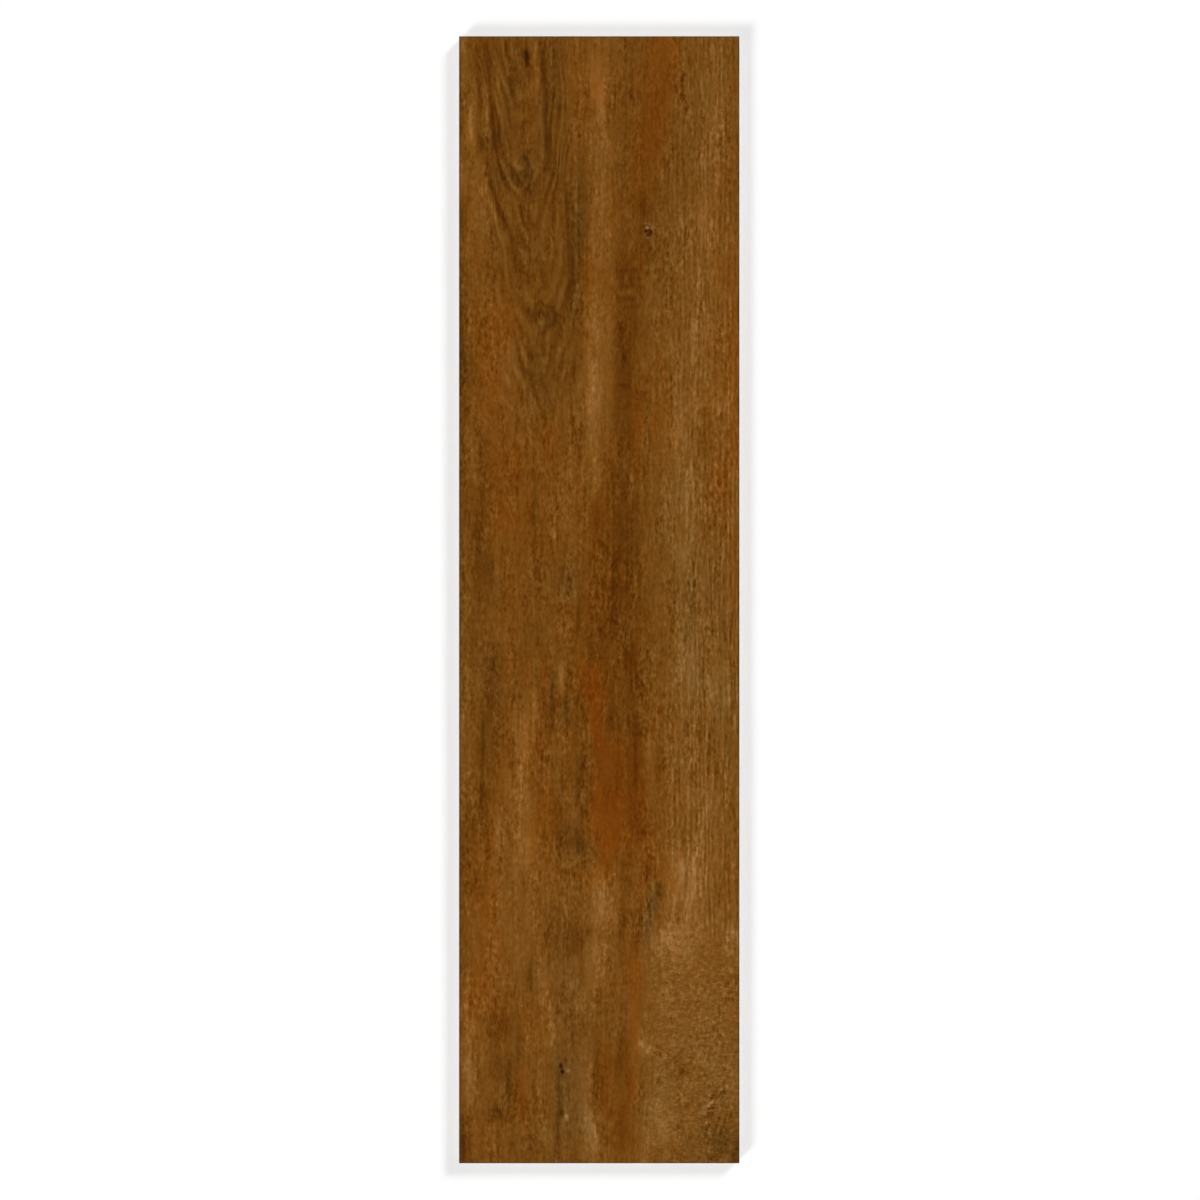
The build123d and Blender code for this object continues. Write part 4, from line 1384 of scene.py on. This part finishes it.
# The ground edge of the fired body, and the line of glaze along its top
groundEdge = {
    "clay": (186, 172, 152),
    "clayShade": (164, 149, 129),
    "speck": (120, 104, 86),
    "speckShare": 0.5,
    "clayCell": 0.5,  # millimetres
    "claySeed": 4.0,
    "grindMarks": (26.0, 0.22),  # millimetres along the edge, and in height
    "glazeLine": (74, 46, 20),
    "glazeDepth": 0.45,  # millimetres below the bevel
    "glazeWaver": 0.15,  # millimetres
    "grindFade": (0.3, 0.7),  # noise levels of the smoothest and the roughest places
    "roughness": (0.62, 0.78),
    "bump": 0.5,
    "bumpHeight": 0.04 * mm,
}


def makeEdge():
    material, tree, shader = newMaterial("groundEdge")
    place = millimetres(tree)
    x, y, z = split(tree, place)
    clay = useGroup(tree, clayGroup, place=place, cell=groundEdge["clayCell"], seed=groundEdge["claySeed"])
    run = calc(tree, "ADD", x, y)
    cell = [calc(tree, "DIVIDE", side, size) for side, size in zip((run, z), groundEdge["grindMarks"])]
    grind = noise(tree, join(tree, *cell, 1.0), 2.0)
    colour = blend(tree, clay["Mottle"], shadeOf(*groundEdge["clay"]), shadeOf(*groundEdge["clayShade"]))
    specks = calc(tree, "MULTIPLY", clay["Specks"], groundEdge["speckShare"])
    colour = blend(tree, specks, colour, shadeOf(*groundEdge["speck"]))
    lip = (tileTop - press["bevel"] - press["bevelSoftening"]) / mm
    height = calc(tree, "ADD", z, calc(tree, "MULTIPLY", clay["Mottle"], groundEdge["glazeWaver"]))
    line = ramp(tree, height, lip - groundEdge["glazeDepth"], lip)
    colour = blend(tree, line, colour, shadeOf(*groundEdge["glazeLine"]))
    feed(tree, shader["Base Color"], colour)
    feed(tree, shader["Roughness"], ramp(tree, grind, *groundEdge["grindFade"], *groundEdge["roughness"]))
    feed(tree, shader["Normal"], bump(tree, grind, groundEdge["bump"], groundEdge["bumpHeight"]))
    return material


# The pressed back, with pale kiln wash rubbed on the rib tops
pressedBack = {
    "clay": (178, 164, 144),
    "clayShade": (156, 141, 122),
    "speck": (112, 96, 80),
    "speckShare": 0.4,
    "clayCell": 0.7,  # millimetres
    "claySeed": 8.0,
    "wash": (222, 218, 208),
    "washAmount": 0.75,
    "washLeast": 0.25,
    "washFade": (-1.2, 1.6),
    "washPatches": {"across": 9.0, "along": 14.0, "wander": 6.0, "lean": 0.0, "seed": 12.0},
    "washHeight": (0.25, 0.02),  # millimetres above the rib tops: no wash left, and full wash
    "mottleFade": (0.3, 0.7),  # noise levels of the smoothest and the roughest places
    "roughness": (0.78, 0.92),
    "bump": 0.5,
    "bumpHeight": 0.25 * mm,
}


def makeBack():
    material, tree, shader = newMaterial("pressedBack")
    place = millimetres(tree)
    z = split(tree, place)[2]
    clay = useGroup(tree, clayGroup, place=place, cell=pressedBack["clayCell"], seed=pressedBack["claySeed"])
    rubbed = useGroup(tree, grainGroup, place=place, **pressedBack["washPatches"])["Grain"]
    colour = blend(tree, clay["Mottle"], shadeOf(*pressedBack["clay"]), shadeOf(*pressedBack["clayShade"]))
    specks = calc(tree, "MULTIPLY", clay["Specks"], pressedBack["speckShare"])
    colour = blend(tree, specks, colour, shadeOf(*pressedBack["speck"]))
    ribTop = ramp(tree, z, *pressedBack["washHeight"])
    patchy = calc(tree, "ADD", rubbed, clay["Mottle"])
    patchy = ramp(tree, patchy, *pressedBack["washFade"], pressedBack["washLeast"], 1.0)
    wash = calc(tree, "MULTIPLY", calc(tree, "MULTIPLY", ribTop, patchy), pressedBack["washAmount"])
    colour = blend(tree, wash, colour, shadeOf(*pressedBack["wash"]))
    feed(tree, shader["Base Color"], colour)
    rough = ramp(tree, clay["Mottle"], *pressedBack["mottleFade"], *pressedBack["roughness"])
    feed(tree, shader["Roughness"], rough)
    relieved = bump(tree, clay["Mottle"], pressedBack["bump"], pressedBack["bumpHeight"])
    feed(tree, shader["Normal"], relieved)
    return material


woodLookTile = buildTile()
for makeFinish in (makeGlaze, makeEdge, makeBack):
    woodLookTile.data.materials.append(makeFinish())
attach(woodLookTile, "root")
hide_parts("porcelain_tile")
print("tile is built, finished and rides on root")

# Pale studio: a round floor that sweeps up into a wall, open above
studio = {
    "floorRings": (0.6, 1.5, 3.0, 6.0),  # radii of the loops between the middle and the edge
    "floorRadius": 11.0,
    "coveRadius": 1.2,
    "coveSteps": 8,
    "sides": 72,
    "wallHeight": 4.5,
    "floorDrop": 0.05 * mm,
    "floorShade": 0.97,
    "floorRoughness": 0.9,
    "paleFrom": 2.2,  # metres from the middle, where the sweep starts to glow for the camera
    "paleTo": 5.0,
    "nearGlow": 0.5,  # how much of that glow the floor has right by the tile
    "sunStrength": 2.45,
    "sunHeight": 36.0,
    "sunSoftness": 18.0,
    "sky": 0.04,
}


def buildSweep():
    sides, steps = studio["sides"], studio["coveSteps"]
    profile = [(radius, 0.0) for radius in (*studio["floorRings"], studio["floorRadius"])]
    for step in range(1, steps + 1):
        turn = math.radians(90 * step / steps)
        reach = studio["floorRadius"] + studio["coveRadius"] * math.sin(turn)
        profile.append((reach, studio["coveRadius"] * (1 - math.cos(turn))))
    profile.append((profile[-1][0], studio["wallHeight"]))
    points, faces = [(0, 0, -studio["floorDrop"])], []
    for radius, height in profile:
        for k in range(sides):
            turn = 2 * math.pi * k / sides
            points.append((radius * math.cos(turn), radius * math.sin(turn), height - studio["floorDrop"]))
    for k in range(sides):
        faces.append((0, 1 + k, 1 + (k + 1) % sides))
    for ring in range(len(profile) - 1):
        for k in range(sides):
            a, b = 1 + ring * sides + k, 1 + ring * sides + (k + 1) % sides
            faces.append((a, a + sides, b + sides, b))
    mesh = bpy.data.meshes.new("studioSweep")
    mesh.from_pydata(points, [], faces)
    mesh.shade_smooth()
    sweep = bpy.data.objects.new("studioSweep", mesh)
    bpy.context.scene.collection.objects.link(sweep)
    return sweep


def makeSweepPaint():
    material, tree, shader = newMaterial("sweepPaint")
    place = tree.nodes.new("ShaderNodeTexCoord").outputs["Object"]
    length = tree.nodes.new("ShaderNodeVectorMath")
    length.operation = "LENGTH"
    feed(tree, length.inputs[0], place)
    far = ramp(tree, length.outputs["Value"], studio["paleFrom"], studio["paleTo"], studio["nearGlow"], 1.0)
    rays = tree.nodes.new("ShaderNodeLightPath").outputs
    seen = calc(tree, "MAXIMUM", rays["Is Camera Ray"], rays["Is Glossy Ray"])
    seen = calc(tree, "MAXIMUM", seen, rays["Is Transmission Ray"])
    shader["Base Color"].default_value = [studio["floorShade"]] * 3 + [1.0]
    shader["Roughness"].default_value = studio["floorRoughness"]
    shader["Specular IOR Level"].default_value = 0.0
    glow = tree.nodes.new("ShaderNodeEmission")
    glow.inputs["Strength"].default_value = 1.0
    mix = tree.nodes.new("ShaderNodeMixShader")
    feed(tree, mix.inputs[0], calc(tree, "MULTIPLY", far, seen))
    output = next(node for node in tree.nodes if node.bl_idname == "ShaderNodeOutputMaterial")
    principled = next(node for node in tree.nodes if node.bl_idname == "ShaderNodeBsdfPrincipled")
    feed(tree, mix.inputs[1], principled.outputs[0])
    feed(tree, mix.inputs[2], glow.outputs[0])
    feed(tree, output.inputs["Surface"], mix.outputs[0])
    return material


studioSweep = buildSweep()
studioSweep.data.materials.append(makeSweepPaint())

for azimuth in (135, 315):
    sun = bpy.data.lights.new("softSun%d" % azimuth, "SUN")
    sun.energy = studio["sunStrength"]
    sun.angle = math.radians(studio["sunSoftness"])
    lamp = bpy.data.objects.new(sun.name, sun)
    lamp.rotation_euler = (math.radians(90 - studio["sunHeight"]), 0, math.radians(azimuth))
    bpy.context.scene.collection.objects.link(lamp)

world = bpy.data.worlds.new("softSky")
bpy.context.scene.world = world
world.use_nodes = True
world.node_tree.nodes["Background"].inputs["Color"].default_value = (1.0, 1.0, 1.0, 1.0)
world.node_tree.nodes["Background"].inputs["Strength"].default_value = studio["sky"]

bpy.context.scene.view_settings.view_transform = "Standard"
print("studio, suns and sky are set")

# Camera: straight above, as the photo was taken
shot = {
    "lens": 100.0,
    "sensor": 36.0,
    "frameWidth": 637.5 * mm,  # what the picture covers at the height of the face
    "centre": (0.41 * mm, -0.13 * mm),  # of the picture, from the middle of the face
    "nearest": 0.05,
    "farthest": 60.0,
}
lens = bpy.data.cameras.new("shotCamera")
lens.lens = shot["lens"]
lens.sensor_width = shot["sensor"]
lens.clip_start = shot["nearest"]
lens.clip_end = shot["farthest"]
camera = bpy.data.objects.new("shotCamera", lens)
distance = shot["frameWidth"] * shot["lens"] / shot["sensor"]
camera.location = (shot["centre"][0], shot["centre"][1], tileTop + distance)
bpy.context.scene.collection.objects.link(camera)
bpy.context.scene.camera = camera
print("camera looks straight down")
